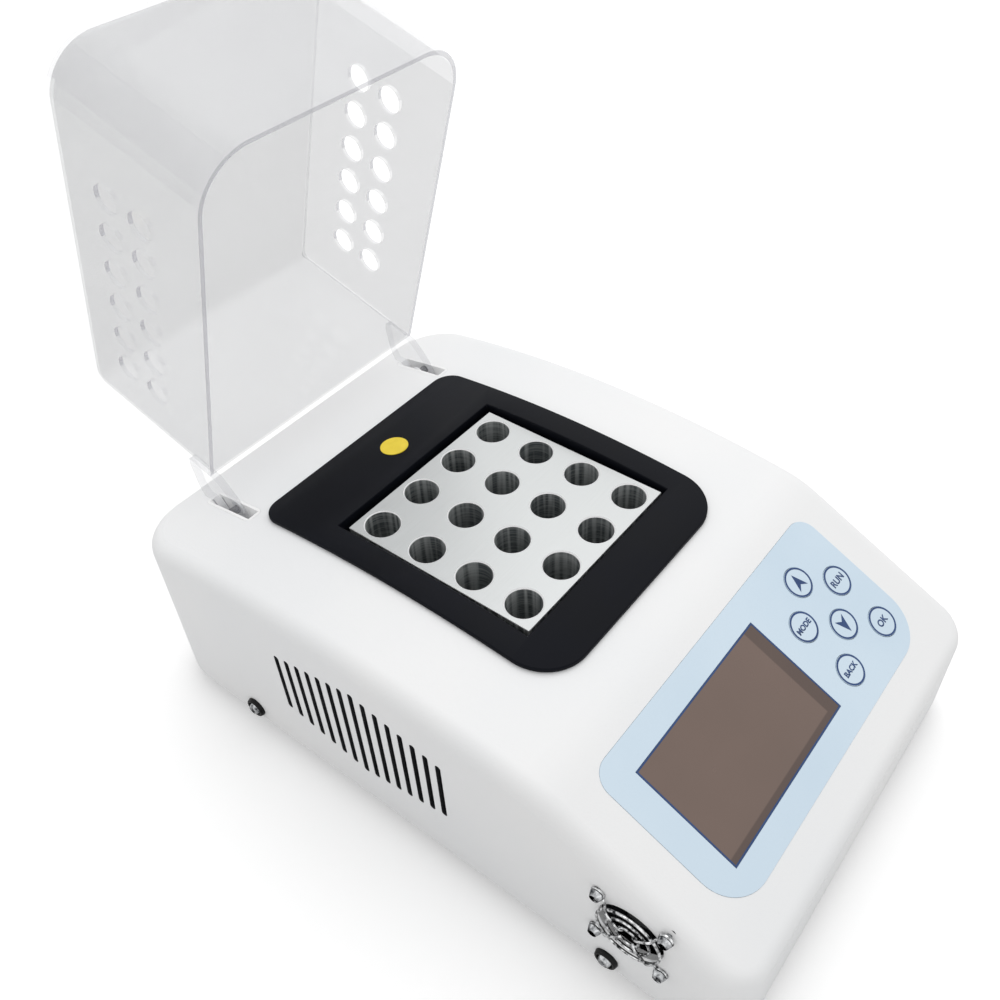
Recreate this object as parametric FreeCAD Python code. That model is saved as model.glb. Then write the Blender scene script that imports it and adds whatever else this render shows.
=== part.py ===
import FreeCAD, Part
import math
import os

# Chemical oxygen demand reactor: all lengths in millimetres.
# X runs to the user's right, Y to the back, Z up; the feet stand on Z = 0.
# Reaches along Y are counted from the centre of the heating block.

# Outer body
BODY_WIDTH = 220.0
FRONT_REACH = 191.6
BACK_REACH = 145.5
COVER_HEIGHT = 100.7
COVER_WALL = 2.5
FRONT_CORNER_RADIUS = 16.5
BACK_CORNER_RADIUS = 30.0
EDGE_RADIUS = 8.0
CROWN_RADIUS = 660.0
CROWN_REACH = 5.0
SLOPE_ANGLE = 25.94
SLOPE_REACH = 81.3
FOLD_RADIUS = 60.0
GROOVE_DROP = 65.1
GROOVE_WIDTH = 174.0
GROOVE_HEIGHT = 1.0
GROOVE_DEPTH = 0.4

# Base tray and feet
FOOT_HEIGHT = 8.0
FOOT_RADIUS = 10.0
FOOT_TAPER = 1.5
FOOT_INSET = 28.0
FOOT_BOSS_RADIUS = 3.0
FOOT_BOSS_HEIGHT = 3.0
TRAY_PLATE = 1.2
TRAY_INSET = 0.6
TRAY_FLANGE_HEIGHT = 16.0
TRAY_FLANGE_WALL = 1.5
TRAY_GAP = 0.2

# Screws through the sides of the cover
COVER_SCREW_BACK_GAP = 69.4
COVER_SCREW_FRONT_GAP = 58.6
COVER_SCREW_RISE = 7.0
WASHER_RADIUS = 5.6
WASHER_THICK = 2.2
WASHER_DISH_RADIUS = 3.9
SCREW_RADIUS = 1.5
SCREW_HOLE_RADIUS = 1.8
SCREW_LENGTH = 9.0
SCREW_HEAD_RADIUS = 3.6
SCREW_HEAD_HEIGHT = 2.2
SCREW_CROSS_LENGTH = 3.8
SCREW_CROSS_WIDTH = 0.9
SCREW_CROSS_DEPTH = 1.0

# Heating block and its wells
BLOCK_WIDTH = 102.6
BLOCK_HEIGHT = 58.0
BLOCK_DROP = 1.1
WELL_PITCH = 27.0
WELL_COUNT = 4
WELL_RADIUS = 8.25
WELL_DEPTH = 46.0
WELL_CHAMFER = 0.5
HEATER_RADIUS = 3.2
HEATER_LENGTH = 90.0
HEATER_PITCH = 54.0
HEATER_RISE = 5.5
HEATER_GAP = 0.1
HEATER_LEAD_RADIUS = 1.6
HEATER_LEAD_LENGTH = 7.0
PROBE_RADIUS = 1.5
PROBE_LENGTH = 30.0
PROBE_RISE = 5.5
PROBE_HEAD_RADIUS = 2.6
PROBE_HEAD_LENGTH = 8.0
JACKET_WALL = 10.0
JACKET_GAP = 0.3
JACKET_DROP = 16.0
JACKET_FLOOR = 10.0
JACKET_LEAD_RADIUS = 3.4
LEG_RADIUS = 4.0
LEG_PITCH = 88.0

# Black frame round the block
BEZEL_HALF_WIDTH = 67.6
BEZEL_FRONT = 76.4
BEZEL_THICK = 2.4
BEZEL_FRONT_RADIUS = 22.0
BEZEL_BACK_RADIUS = 10.5
BEZEL_WINDOW = 108.4
BEZEL_WINDOW_REACH = 1.2
BEZEL_LIP_WALL = 2.0
BEZEL_LIP_DEPTH = 14.0
DECK_HOLE_GAP = 0.3
DOT_RADIUS = 7.0
DOT_THICK = 0.3
DOT_FORWARD = 1.9
DOT_SIDE = 3.0

# Vent slots in both sides
VENT_COUNT = 15
VENT_PITCH = 6.72
VENT_WIDTH = 3.0
VENT_LENGTH = 58.4
VENT_STEP = 2.85
VENT_REACH = -1.6
VENT_DROP = 49.5

# Fan in the left side
FAN_FRONT_GAP = 49.3
FAN_SLOPE_GAP = 19.929
FAN_SIZE = 30.0
FAN_THICK = 10.0
FAN_CORNER = 2.0
FAN_PITCH = 30.0
FAN_LUG_RADIUS = 2.1
FAN_LUG_THICK = 3.0
FAN_BORE_RADIUS = 14.2
FAN_HUB_RADIUS = 6.5
FAN_BLADE_RADIUS = 13.5
FAN_BLADE_COUNT = 7
FAN_BLADE_THICK = 1.1
FAN_BLADE_DEPTH = 5.0
FAN_BLADE_PITCH = 38.0
FAN_STRUT_WIDTH = 2.0
FAN_STRUT_THICK = 1.8
FAN_STRUT_COUNT = 4
FAN_SHAFT_RADIUS = 1.5
FAN_SHAFT_GAP = 0.05
FAN_END_GAP = 0.4
FAN_FACE_GAP = 1.0
FAN_SPACER = 3.5
FAN_PORT_RADIUS = 14.8
GUARD_WIRE_RADIUS = 0.75
GUARD_RING_SHARES = (0.35211, 0.67606, 1.0)
GUARD_LOOP_RADIUS = 2.6
GUARD_SINK = 0.1
FAN_HOLE_RADIUS = 1.3
FAN_SCREW_RADIUS = 1.25
FAN_SCREW_HEAD_RADIUS = 3.0
FAN_SCREW_HEAD_HEIGHT = 2.2
FAN_SCREW_LENGTH = 11.5

# Control panel on the front slope: reaches down the slope start at the fold
PANEL_WIDTH = 173.2
PANEL_TOP_SHARE = 0.22746
PANEL_BOTTOM_SHARE = 0.85115
PANEL_TOP_RADIUS = 9.5
PANEL_BOTTOM_RADIUS = 20.0
PANEL_THICK = 0.8
PANEL_SINK = 0.6
WINDOW_LEFT = -72.2
WINDOW_RIGHT = 19.4
WINDOW_TOP_SHARE = 0.33019
WINDOW_BOTTOM_SHARE = 0.75332
WINDOW_THICK = 1.8
WINDOW_GAP = 0.1
WINDOW_LEDGE = 2.0
LCD_MARGIN = 3.0
LCD_THICK = 5.0
LCD_GAP = 0.3
DISPLAY_BOARD_MARGIN = 7.0
BOARD_THICK = 1.6
KEY_COLUMN_SHARES = (0.43649, 0.63279, 0.82794)
KEY_RADIUS = 7.4
KEY_GAP = 0.25
KEY_PROUD = 0.25
KEY_FLANGE = 1.1
KEY_FLANGE_THICK = 1.0
KEY_TRAVEL = 0.8
KEY_STEM_RADIUS = 1.8
KEY_STEM_LENGTH = 2.0
KEY_ROW_SHARES = (0.37911, 0.48998, 0.60086, 0.71255)
KEY_BOARD_MARGIN = 10.3
SWITCH_SIZE = 6.0
SWITCH_HEIGHT = 3.4
SWITCH_PLUNGER_RADIUS = 1.6
SWITCH_PLUNGER_HEIGHT = 0.6
SWITCH_GAP = 0.1

# Lid hood; reaches along the rim start at the hinge end
HOOD_DEPTH = 80.0
HOOD_SHEET = 2.2
HOOD_SIDE_GAP = 0.7
HOOD_FRONT_GAP = 0.3
HOOD_BACK_GAP = 0.5
HOOD_RADIUS = 24.3
HOOD_BEND = 6.0
LID_OPEN_ANGLE = 72.53
LID_OPEN_BACK_GAP = 24.2
LID_OPEN_RISE = 7.3
LID_CLOSED_BACK_GAP = 48.4
LID_CLOSED_GAP = 0.45
LID_HOLE_RADIUS = 6.25
LID_HOLE_FIRST = 126.7
LID_HOLE_PITCH = 19.18
LID_HOLE_COUNT = 6
LID_HOLE_ROW_SHARES = (0.65, 0.41375)

# Hinge of the lid: a cup sunk in the deck at each rear corner of the hood
CUP_INNER_GAP = 1.2
CUP_OUTER_GAP = 1.0
CUP_FRONT_GAP = 1.3
CUP_BACK_GAP = 6.3
CUP_TROUGH_GAP = 0.8
CUP_WALL = 1.5
CUP_RADIUS = 1.5
CUP_GAP = 0.1
EAR_WIDTH = 4.2
EAR_PIVOT_RADIUS = 8.2
EAR_RIM_GAP = 0.8
EAR_REACH = 24.0
EAR_DROP = 21.0
EAR_SHARES = (
    (0.0, 0.69048), (0.17083, 0.66667), (0.65833, 0.39524), (0.9375, 0.09524),
    (1.0, -0.19048), (0.875, -0.90476), (0.57917, -1.0), (0.3, -0.7),
    (0.11667, -0.36667), (0.0, -0.12381),
)
PIN_RADIUS = 2.0
PIN_GAP = 0.06
SPACER_RADIUS = 4.0
SPACER_GAP = 0.3

# Mains inlet, fuse drawer and switch in the back
INLET_SIDE_GAP = 48.0
INLET_RISE = 40.0
INLET_FLANGE_WIDTH = 31.0
INLET_FLANGE_HEIGHT = 50.0
INLET_FLANGE_THICK = 2.0
INLET_BODY_WIDTH = 27.0
INLET_BODY_HEIGHT = 46.0
INLET_BODY_DEPTH = 24.0
INLET_GAP = 0.3
INLET_SOCKET_WIDTH = 22.0
INLET_SOCKET_HEIGHT = 15.0
INLET_SOCKET_DEPTH = 15.0
INLET_SOCKET_RISE = 8.0
INLET_BLADE_WIDTH = 2.0
INLET_BLADE_THICK = 4.0
INLET_BLADE_PITCH = 7.0
INLET_BLADE_LENGTH = 12.0
FUSE_WIDTH = 19.0
FUSE_HEIGHT = 9.0
FUSE_DEPTH = 18.0
FUSE_RISE = -14.0
FUSE_WALL = 1.5
FUSE_GAP = 0.15
FUSE_GRIP = 1.2
FUSE_GRIP_WIDTH = 8.0
FUSE_GRIP_HEIGHT = 2.0
ROCKER_PITCH = 40.0
ROCKER_RISE = 40.0
ROCKER_FLANGE_WIDTH = 24.0
ROCKER_FLANGE_HEIGHT = 30.0
ROCKER_FLANGE_THICK = 1.8
ROCKER_BODY_WIDTH = 20.0
ROCKER_BODY_HEIGHT = 26.0
ROCKER_BODY_DEPTH = 18.0
ROCKER_CAP_WIDTH = 13.0
ROCKER_CAP_HEIGHT = 20.0
ROCKER_CAP_DEPTH = 8.0
ROCKER_TILT = 9.0
ROCKER_WELL_DEPTH = 12.0
ROCKER_WELL_GAP = 1.6
ROCKER_PIN_RADIUS = 1.2
ROCKER_PIN_GAP = 0.06

# Parts inside
BOARD_STANDOFF = 5.0
POWER_SIDE_GAP = 18.0
POWER_ROCKER_GAP = 9.0
POWER_JACKET_GAP = 4.4
POWER_BACK_GAP = 29.5
POWER_HEIGHT = 32.0
MAIN_LEFT = -55.0
MAIN_FRONT_GAP = 15.6
MAIN_WIDTH = 120.0
MAIN_JACKET_GAP = 22.4
RELAY_WIDTH = 45.0
RELAY_DEPTH = 58.0
RELAY_HEIGHT = 22.0
RELAY_LEFT = 12.0
RELAY_FRONT_GAP = 6.0
SINK_WIDTH = 44.0
SINK_DEPTH = 62.0
SINK_HEIGHT = 15.0
SINK_BASE = 4.0
SINK_FIN_COUNT = 7
SINK_FIN_THICK = 1.8
CHIP_SIZE = 14.0
CHIP_HEIGHT = 2.2
PLUG_WIDTH = 26.0
PLUG_DEPTH = 8.0
PLUG_HEIGHT = 9.0
CAP_RADIUS = 5.0
CAP_HEIGHT = 12.0
CAP_COUNT = 3

# How near two places count as one
NEAR = 0.001

# Values that follow from the sizes above
COVER_BOTTOM = FOOT_HEIGHT + TRAY_PLATE
DECK_TOP = COVER_BOTTOM + COVER_HEIGHT
SIDE_REACH = BODY_WIDTH / 2
BLOCK_TOP = DECK_TOP - BLOCK_DROP
BLOCK_BOTTOM = BLOCK_TOP - BLOCK_HEIGHT
SLOPE = math.radians(SLOPE_ANGLE)
OPEN = math.radians(LID_OPEN_ANGLE)
SLOPE_LENGTH = (FRONT_REACH - SLOPE_REACH) / math.cos(SLOPE)
PANEL_ORIGIN = FreeCAD.Vector(0, -SLOPE_REACH, DECK_TOP)
PANEL_TOP = SLOPE_LENGTH * PANEL_TOP_SHARE
PANEL_BOTTOM = SLOPE_LENGTH * PANEL_BOTTOM_SHARE
WINDOW_TOP = SLOPE_LENGTH * WINDOW_TOP_SHARE
WINDOW_BOTTOM = SLOPE_LENGTH * WINDOW_BOTTOM_SHARE
KEY_COLUMNS = [PANEL_WIDTH / 2 * share for share in KEY_COLUMN_SHARES]
KEY_ROWS = [SLOPE_LENGTH * share for share in KEY_ROW_SHARES]
GUARD_RINGS = [FAN_BORE_RADIUS * share for share in GUARD_RING_SHARES]
COVER_SCREW_BACK = BACK_REACH - COVER_SCREW_BACK_GAP
COVER_SCREW_FRONT = FRONT_REACH - COVER_SCREW_FRONT_GAP
FAN_REACH = FRONT_REACH - FAN_FRONT_GAP
FAN_DROP = (FAN_REACH + FAN_SIZE / 2 - SLOPE_REACH) * math.tan(SLOPE) + FAN_SLOPE_GAP
LID_OPEN_REACH = BACK_REACH - LID_OPEN_BACK_GAP
LID_CLOSED_REACH = BACK_REACH - LID_CLOSED_BACK_GAP
BEZEL_BACK = LID_CLOSED_REACH - HOOD_SHEET - HOOD_BACK_GAP
DOT_REACH = (BEZEL_WINDOW_REACH + BEZEL_WINDOW / 2 + BEZEL_BACK) / 2 - DOT_FORWARD
HOOD_WIDTH = (BEZEL_HALF_WIDTH + HOOD_SIDE_GAP + HOOD_SHEET) * 2
HOOD_LENGTH = LID_CLOSED_REACH + BEZEL_FRONT + HOOD_FRONT_GAP + HOOD_SHEET
CUP_INSIDE = HOOD_WIDTH / 2 - EAR_WIDTH - CUP_INNER_GAP
CUP_OUTSIDE = HOOD_WIDTH / 2 + CUP_OUTER_GAP
CUP_FRONT = LID_CLOSED_REACH + CUP_FRONT_GAP
CUP_BACK = LID_OPEN_REACH + CUP_BACK_GAP
JACKET_REACH = BLOCK_WIDTH / 2 + JACKET_GAP + JACKET_WALL
INLET_LEFT = SIDE_REACH - INLET_SIDE_GAP
ROCKER_LEFT = INLET_LEFT - ROCKER_PITCH
POWER_LEFT = POWER_SIDE_GAP - SIDE_REACH
POWER_WIDTH = ROCKER_LEFT - ROCKER_BODY_WIDTH / 2 - POWER_ROCKER_GAP - POWER_LEFT
POWER_FRONT = JACKET_REACH + POWER_JACKET_GAP
POWER_DEPTH = BACK_REACH - POWER_BACK_GAP - POWER_FRONT
MAIN_FRONT = FRONT_REACH - MAIN_FRONT_GAP
MAIN_DEPTH = MAIN_FRONT - JACKET_REACH - MAIN_JACKET_GAP
RELAY_FRONT = MAIN_FRONT - RELAY_FRONT_GAP
X_AXIS = FreeCAD.Vector(1, 0, 0)
Y_AXIS = FreeCAD.Vector(0, 1, 0)
Z_AXIS = FreeCAD.Vector(0, 0, 1)


def hinge_axis():
    """The point that carries the closed rim end to its open place."""
    open_end = (LID_OPEN_REACH, DECK_TOP + LID_OPEN_RISE)
    shut_end = (LID_CLOSED_REACH, DECK_TOP + LID_CLOSED_GAP)
    turned_y = open_end[0] * math.cos(OPEN) - open_end[1] * math.sin(OPEN)
    turned_z = open_end[0] * math.sin(OPEN) + open_end[1] * math.cos(OPEN)
    rest_y = shut_end[0] - turned_y
    rest_z = shut_end[1] - turned_z
    lean = 1 - math.cos(OPEN)
    span = lean ** 2 + math.sin(OPEN) ** 2
    axis_y = (lean * rest_y - math.sin(OPEN) * rest_z) / span
    axis_z = (math.sin(OPEN) * rest_y + lean * rest_z) / span
    return axis_y, axis_z


HINGE_Y, HINGE_Z = hinge_axis()


def box(x0, x1, y0, y1, z0, z1):
    size = (x1 - x0, y1 - y0, z1 - z0)
    return Part.makeBox(*size, FreeCAD.Vector(x0, y0, z0))


def rod(radius, length, start, direction):
    return Part.makeCylinder(radius, length, start, direction)


def vertical_edges(shape):
    picked = []
    for edge in shape.Edges:
        a, b = edge.Vertexes[0].Point, edge.Vertexes[-1].Point
        level = abs(a.x - b.x) + abs(a.y - b.y)
        if level < NEAR and abs(a.z - b.z) > NEAR:
            picked.append(edge)
    return picked


def rounded_box(x0, x1, y0, y1, z0, z1, radius):
    shape = box(x0, x1, y0, y1, z0, z1)
    return shape.makeFillet(radius, vertical_edges(shape))


def round_uprights(shape, front_radius, back_radius):
    """Round the upright edges at the front and at the back, each with its own radius."""
    limits = shape.BoundBox
    middle = (limits.YMin + limits.YMax) / 2
    front = [edge for edge in vertical_edges(shape) if edge.CenterOfMass.y < middle]
    shape = shape.makeFillet(front_radius, front)
    back = [edge for edge in vertical_edges(shape) if edge.CenterOfMass.y > middle]
    return shape.makeFillet(back_radius, back)


def on_slope(shape):
    """Move a shape drawn flat (x, down the slope as -y, out as z) to the slope."""
    placed = shape.copy()
    placed.rotate(FreeCAD.Vector(), X_AXIS, SLOPE_ANGLE)
    placed.translate(PANEL_ORIGIN)
    return placed


def crown_disc(grow, half):
    """A long drum whose upper side is the crowned deck, raised by grow."""
    centre = FreeCAD.Vector(-half, CROWN_REACH, DECK_TOP - CROWN_RADIUS)
    return rod(CROWN_RADIUS + grow, half * 2, centre, X_AXIS)


def deck_height(y, grow):
    """Height of the crowned deck, raised by grow, at a reach along Y."""
    radius = CROWN_RADIUS + grow
    return DECK_TOP - CROWN_RADIUS + math.sqrt(radius ** 2 - (y - CROWN_REACH) ** 2)


def fold_reach(inset):
    """Where the sloped front meets the crowned deck."""
    fall = math.tan(SLOPE)
    lift = SLOPE_REACH * fall - inset / math.cos(SLOPE) + CROWN_RADIUS
    half_b = fall * lift - CROWN_REACH
    square = 1 + fall ** 2
    rest = CROWN_REACH ** 2 + lift ** 2 - (CROWN_RADIUS - inset) ** 2
    return (math.sqrt(half_b ** 2 - square * rest) - half_b) / square


def cover_block(inset):
    """The outer form of the cover, shrunk by inset on every side but the open bottom."""
    half = SIDE_REACH - inset
    front = inset - FRONT_REACH
    back = BACK_REACH - inset
    fold = fold_reach(inset)
    fall = (front + SLOPE_REACH) * math.tan(SLOPE)
    nose = DECK_TOP + fall - inset / math.cos(SLOPE)
    low = COVER_BOTTOM - inset
    places = [(fold, deck_height(fold, -inset)), (front, nose), (front, low), (back, low),
              (back, deck_height(back, -inset))]
    points = [FreeCAD.Vector(-half, y, z) for y, z in places]
    middle = FreeCAD.Vector(-half, CROWN_REACH, deck_height(CROWN_REACH, -inset))
    deck = Part.Arc(points[-1], middle, points[0]).toShape()
    outline = Part.Wire(Part.makePolygon(points).Edges + [deck])
    shape = Part.Face(outline).extrude(X_AXIS * (half * 2))
    top = deck_height(fold, -inset)
    ridge = []
    for edge in shape.Edges:
        middle = edge.CenterOfMass
        if abs(middle.y - fold) < NEAR and abs(middle.z - top) < NEAR:
            ridge.append(edge)
    shape = shape.makeFillet(FOLD_RADIUS - inset, ridge)
    shape = round_uprights(shape, FRONT_CORNER_RADIUS - inset, BACK_CORNER_RADIUS - inset)
    rim = []
    for edge in shape.Edges:
        bounds = edge.BoundBox
        across = bounds.XLength > half and bounds.YLength < NEAR
        inner = across and front + NEAR < bounds.YMin and bounds.YMax < back - NEAR
        upright = bounds.XLength < NEAR and bounds.YLength < NEAR
        if bounds.ZMin > low + NEAR and not inner and not upright:
            rim.append(edge)
    return shape.makeFillet(EDGE_RADIUS - inset, rim)


def side_slot(centre_y, centre_z, length, width, side):
    """A round-ended upright slot through one side wall."""
    deep = COVER_WALL * 4
    start = side * SIDE_REACH - deep / 2
    straight = length - width
    shape = box(start, start + deep, centre_y - width / 2, centre_y + width / 2,
                centre_z - straight / 2, centre_z + straight / 2)
    for rise in (-straight / 2, straight / 2):
        end = FreeCAD.Vector(start, centre_y, centre_z + rise)
        shape = shape.fuse(rod(width / 2, deep, end, X_AXIS))
    return shape


def vent_slots():
    slots = []
    middle = (VENT_COUNT - 1) // 2
    for side in (-1, 1):
        for number in range(VENT_COUNT):
            step = number - middle
            length = VENT_LENGTH - VENT_STEP * abs(step)
            centre_y = VENT_REACH + VENT_PITCH * step
            slots.append(side_slot(centre_y, DECK_TOP - VENT_DROP, length, VENT_WIDTH, side))
    return slots


def cover_screw_places():
    places = []
    for side in (-1, 1):
        for y in (COVER_SCREW_BACK, -COVER_SCREW_FRONT):
            places.append((side, y, COVER_BOTTOM + COVER_SCREW_RISE))
    return places


def fan_screw_places():
    places = []
    for step_y in (-FAN_PITCH / 2, FAN_PITCH / 2):
        for step_z in (-FAN_PITCH / 2, FAN_PITCH / 2):
            places.append((step_y - FAN_REACH, DECK_TOP - FAN_DROP + step_z))
    return places


def key_places():
    left, middle, right = KEY_COLUMNS
    first, second, third, last = KEY_ROWS
    return {
        "key_up": (middle, first),
        "key_run": (right, second),
        "key_mode": (left, second),
        "key_down": (middle, third),
        "key_back": (left, last),
        "key_ok": (right, last),
    }


def slope_box(x0, x1, top, bottom, out0, out1):
    return on_slope(box(x0, x1, -bottom, -top, out0, out1))


def slope_disc(x, reach, radius, out0, out1):
    start = FreeCAD.Vector(x, -reach, out0)
    return on_slope(rod(radius, out1 - out0, start, Z_AXIS))


def panel_outline(grow, out0, out1):
    half = PANEL_WIDTH / 2 + grow
    flat = box(-half, half, -PANEL_BOTTOM - grow, grow - PANEL_TOP, out0, out1)
    return on_slope(round_uprights(flat, PANEL_BOTTOM_RADIUS + grow, PANEL_TOP_RADIUS + grow))


def cover_cutters():
    deep = COVER_WALL * 4
    cuts = vent_slots()
    for side, y, z in cover_screw_places():
        start = FreeCAD.Vector(side * SIDE_REACH - deep / 2, y, z)
        cuts.append(rod(SCREW_HOLE_RADIUS, deep, start, X_AXIS))
    fan_z = DECK_TOP - FAN_DROP
    start = FreeCAD.Vector(-SIDE_REACH - deep / 2, -FAN_REACH, fan_z)
    cuts.append(rod(FAN_PORT_RADIUS, deep, start, X_AXIS))
    for y, z in fan_screw_places():
        start = FreeCAD.Vector(-SIDE_REACH - deep / 2, y, z)
        cuts.append(rod(FAN_HOLE_RADIUS, deep, start, X_AXIS))
        start = FreeCAD.Vector(COVER_WALL - SIDE_REACH, y, z)
        cuts.append(rod(FAN_LUG_RADIUS + FAN_END_GAP, FAN_THICK, start, X_AXIS))
    hole = BEZEL_WINDOW / 2 + BEZEL_LIP_WALL + DECK_HOLE_GAP
    cuts.append(box(-hole, hole, BEZEL_WINDOW_REACH - hole, BEZEL_WINDOW_REACH + hole,
                    DECK_TOP - deep, DECK_TOP + deep))
    for side in (-1, 1):
        cuts.append(cup_box(side, CUP_WALL + CUP_GAP, DECK_TOP - deep * 2, DECK_TOP + deep))
    half = GROOVE_WIDTH / 2
    groove_z = DECK_TOP - GROOVE_DROP
    cuts.append(box(-half, half, -FRONT_REACH - deep, GROOVE_DEPTH - FRONT_REACH,
                    groove_z - GROOVE_HEIGHT / 2, groove_z + GROOVE_HEIGHT / 2))
    return cuts


def panel_cutters():
    deep = COVER_WALL * 2
    cuts = [panel_outline(WINDOW_GAP, -PANEL_SINK, deep)]
    inner = WINDOW_LEDGE
    cuts.append(slope_box(WINDOW_LEFT + inner, WINDOW_RIGHT - inner, WINDOW_TOP + inner,
                          WINDOW_BOTTOM - inner, -deep, deep))
    seat = PANEL_THICK - PANEL_SINK - WINDOW_THICK
    cuts.append(slope_box(WINDOW_LEFT - WINDOW_GAP, WINDOW_RIGHT + WINDOW_GAP,
                          WINDOW_TOP - WINDOW_GAP, WINDOW_BOTTOM + WINDOW_GAP, seat, deep))
    for x, reach in key_places().values():
        cuts.append(slope_disc(x, reach, KEY_RADIUS + KEY_GAP, -deep, deep))
    return cuts


def back_cutters():
    deep = COVER_WALL * 4
    start = BACK_REACH - deep / 2
    cuts = []
    openings = (
        (INLET_LEFT, INLET_RISE, INLET_BODY_WIDTH, INLET_BODY_HEIGHT),
        (ROCKER_LEFT, ROCKER_RISE, ROCKER_BODY_WIDTH, ROCKER_BODY_HEIGHT),
    )
    for left, rise, width, height in openings:
        half = width / 2 + INLET_GAP
        tall = height / 2 + INLET_GAP
        cuts.append(box(left - half, left + half, start, start + deep,
                        COVER_BOTTOM + rise - tall, COVER_BOTTOM + rise + tall))
    return cuts


def top_cover():
    shell = cover_block(0).cut(cover_block(COVER_WALL))
    for cutter in cover_cutters() + panel_cutters() + back_cutters():
        shell = shell.cut(cutter)
    return shell


def tray_block(inset, z0, z1):
    """The plan of the body, shrunk by inset, between two heights."""
    half = SIDE_REACH - inset
    shape = box(-half, half, inset - FRONT_REACH, BACK_REACH - inset, z0, z1)
    return round_uprights(shape, FRONT_CORNER_RADIUS - inset, BACK_CORNER_RADIUS - inset)


def base_tray():
    rim = COVER_WALL + TRAY_GAP
    tray = tray_block(TRAY_INSET, FOOT_HEIGHT, COVER_BOTTOM)
    outer = tray_block(rim, FOOT_HEIGHT, COVER_BOTTOM + TRAY_FLANGE_HEIGHT)
    rim = rim + TRAY_FLANGE_WALL
    inner = tray_block(rim, COVER_BOTTOM, COVER_BOTTOM + TRAY_FLANGE_HEIGHT * 2)
    tray = tray.fuse(outer).cut(inner)
    low = COVER_BOTTOM + INLET_RISE - INLET_BODY_HEIGHT / 2 - INLET_GAP
    gap = INLET_BODY_WIDTH / 2 + INLET_FLANGE_THICK
    if low < COVER_BOTTOM + TRAY_FLANGE_HEIGHT:
        tray = tray.cut(box(INLET_LEFT - gap, INLET_LEFT + gap, BACK_REACH - rim * 2,
                            BACK_REACH, low, COVER_BOTTOM + TRAY_FLANGE_HEIGHT * 2))
    for side, y, z in cover_screw_places():
        start = FreeCAD.Vector(side * SIDE_REACH - rim, y, z)
        tray = tray.cut(rod(SCREW_RADIUS, rim * 2, start, X_AXIS))
    for x, y in foot_places():
        start = FreeCAD.Vector(x, y, 0)
        tray = tray.cut(rod(FOOT_BOSS_RADIUS, COVER_BOTTOM * 2, start, Z_AXIS))
    return tray.removeSplitter()


def foot_places():
    across = SIDE_REACH - FOOT_INSET
    return [(x, y) for x in (-across, across)
            for y in (FOOT_INSET - FRONT_REACH, BACK_REACH - FOOT_INSET)]


def rubber_feet():
    feet = []
    for x, y in foot_places():
        base = FreeCAD.Vector(x, y, 0)
        foot = Part.makeCone(FOOT_RADIUS - FOOT_TAPER, FOOT_RADIUS, FOOT_HEIGHT, base, Z_AXIS)
        foot = foot.fuse(rod(FOOT_BOSS_RADIUS, COVER_BOTTOM, base, Z_AXIS))
        knob = FreeCAD.Vector(x, y, COVER_BOTTOM)
        foot = foot.fuse(Part.makeCone(FOOT_BOSS_RADIUS + FOOT_TAPER, FOOT_BOSS_RADIUS,
                                       FOOT_BOSS_HEIGHT, knob, Z_AXIS))
        feet.append(foot.removeSplitter())
    return Part.makeCompound(feet)


def cross_screw(place, outward, radius, head_radius, head_height, length):
    """A screw with a domed cross head; place is the underside of its head."""
    cross = SCREW_CROSS_LENGTH
    shaft = rod(radius, length, place, outward * -1)
    head = Part.makeCone(head_radius, head_radius * 2 / 3, head_height, place, outward)
    top = place + outward * (head_height - SCREW_CROSS_DEPTH)
    shape = shaft.fuse(head)
    for along, across in ((cross, SCREW_CROSS_WIDTH), (SCREW_CROSS_WIDTH, cross)):
        start = FreeCAD.Vector(-along / 2, -across / 2, 0)
        turn = FreeCAD.Rotation(Z_AXIS, outward)
        bar = Part.makeBox(along, across, SCREW_CROSS_DEPTH * 2, start)
        bar = bar.transformGeometry(FreeCAD.Placement(top, turn).toMatrix())
        shape = shape.cut(bar)
    return shape


def cup_washers():
    rings = []
    for side, y, z in cover_screw_places():
        start = FreeCAD.Vector(side * SIDE_REACH, y, z)
        outward = X_AXIS * side
        cup = Part.makeCone(WASHER_RADIUS, WASHER_DISH_RADIUS + WASHER_THICK / 2,
                            WASHER_THICK, start, outward)
        cup = cup.cut(rod(SCREW_HOLE_RADIUS, WASHER_THICK, start, outward))
        dish = start + outward * (WASHER_THICK / 2)
        rings.append(cup.cut(rod(WASHER_DISH_RADIUS, WASHER_THICK, dish, outward)))
    return Part.makeCompound(rings)


def cover_screws():
    screws = []
    for side, y, z in cover_screw_places():
        outward = X_AXIS * side
        place = FreeCAD.Vector(side * SIDE_REACH, y, z) + outward * (WASHER_THICK / 2)
        screws.append(cross_screw(place, outward, SCREW_RADIUS, SCREW_HEAD_RADIUS,
                                  SCREW_HEAD_HEIGHT, SCREW_LENGTH))
    return Part.makeCompound(screws)


def well_places():
    first = -WELL_PITCH * (WELL_COUNT - 1) / 2
    row = [first + WELL_PITCH * number for number in range(WELL_COUNT)]
    return [(x, y) for x in row for y in row]


def heater_places():
    return [-HEATER_PITCH / 2, 0, HEATER_PITCH / 2]


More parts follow.
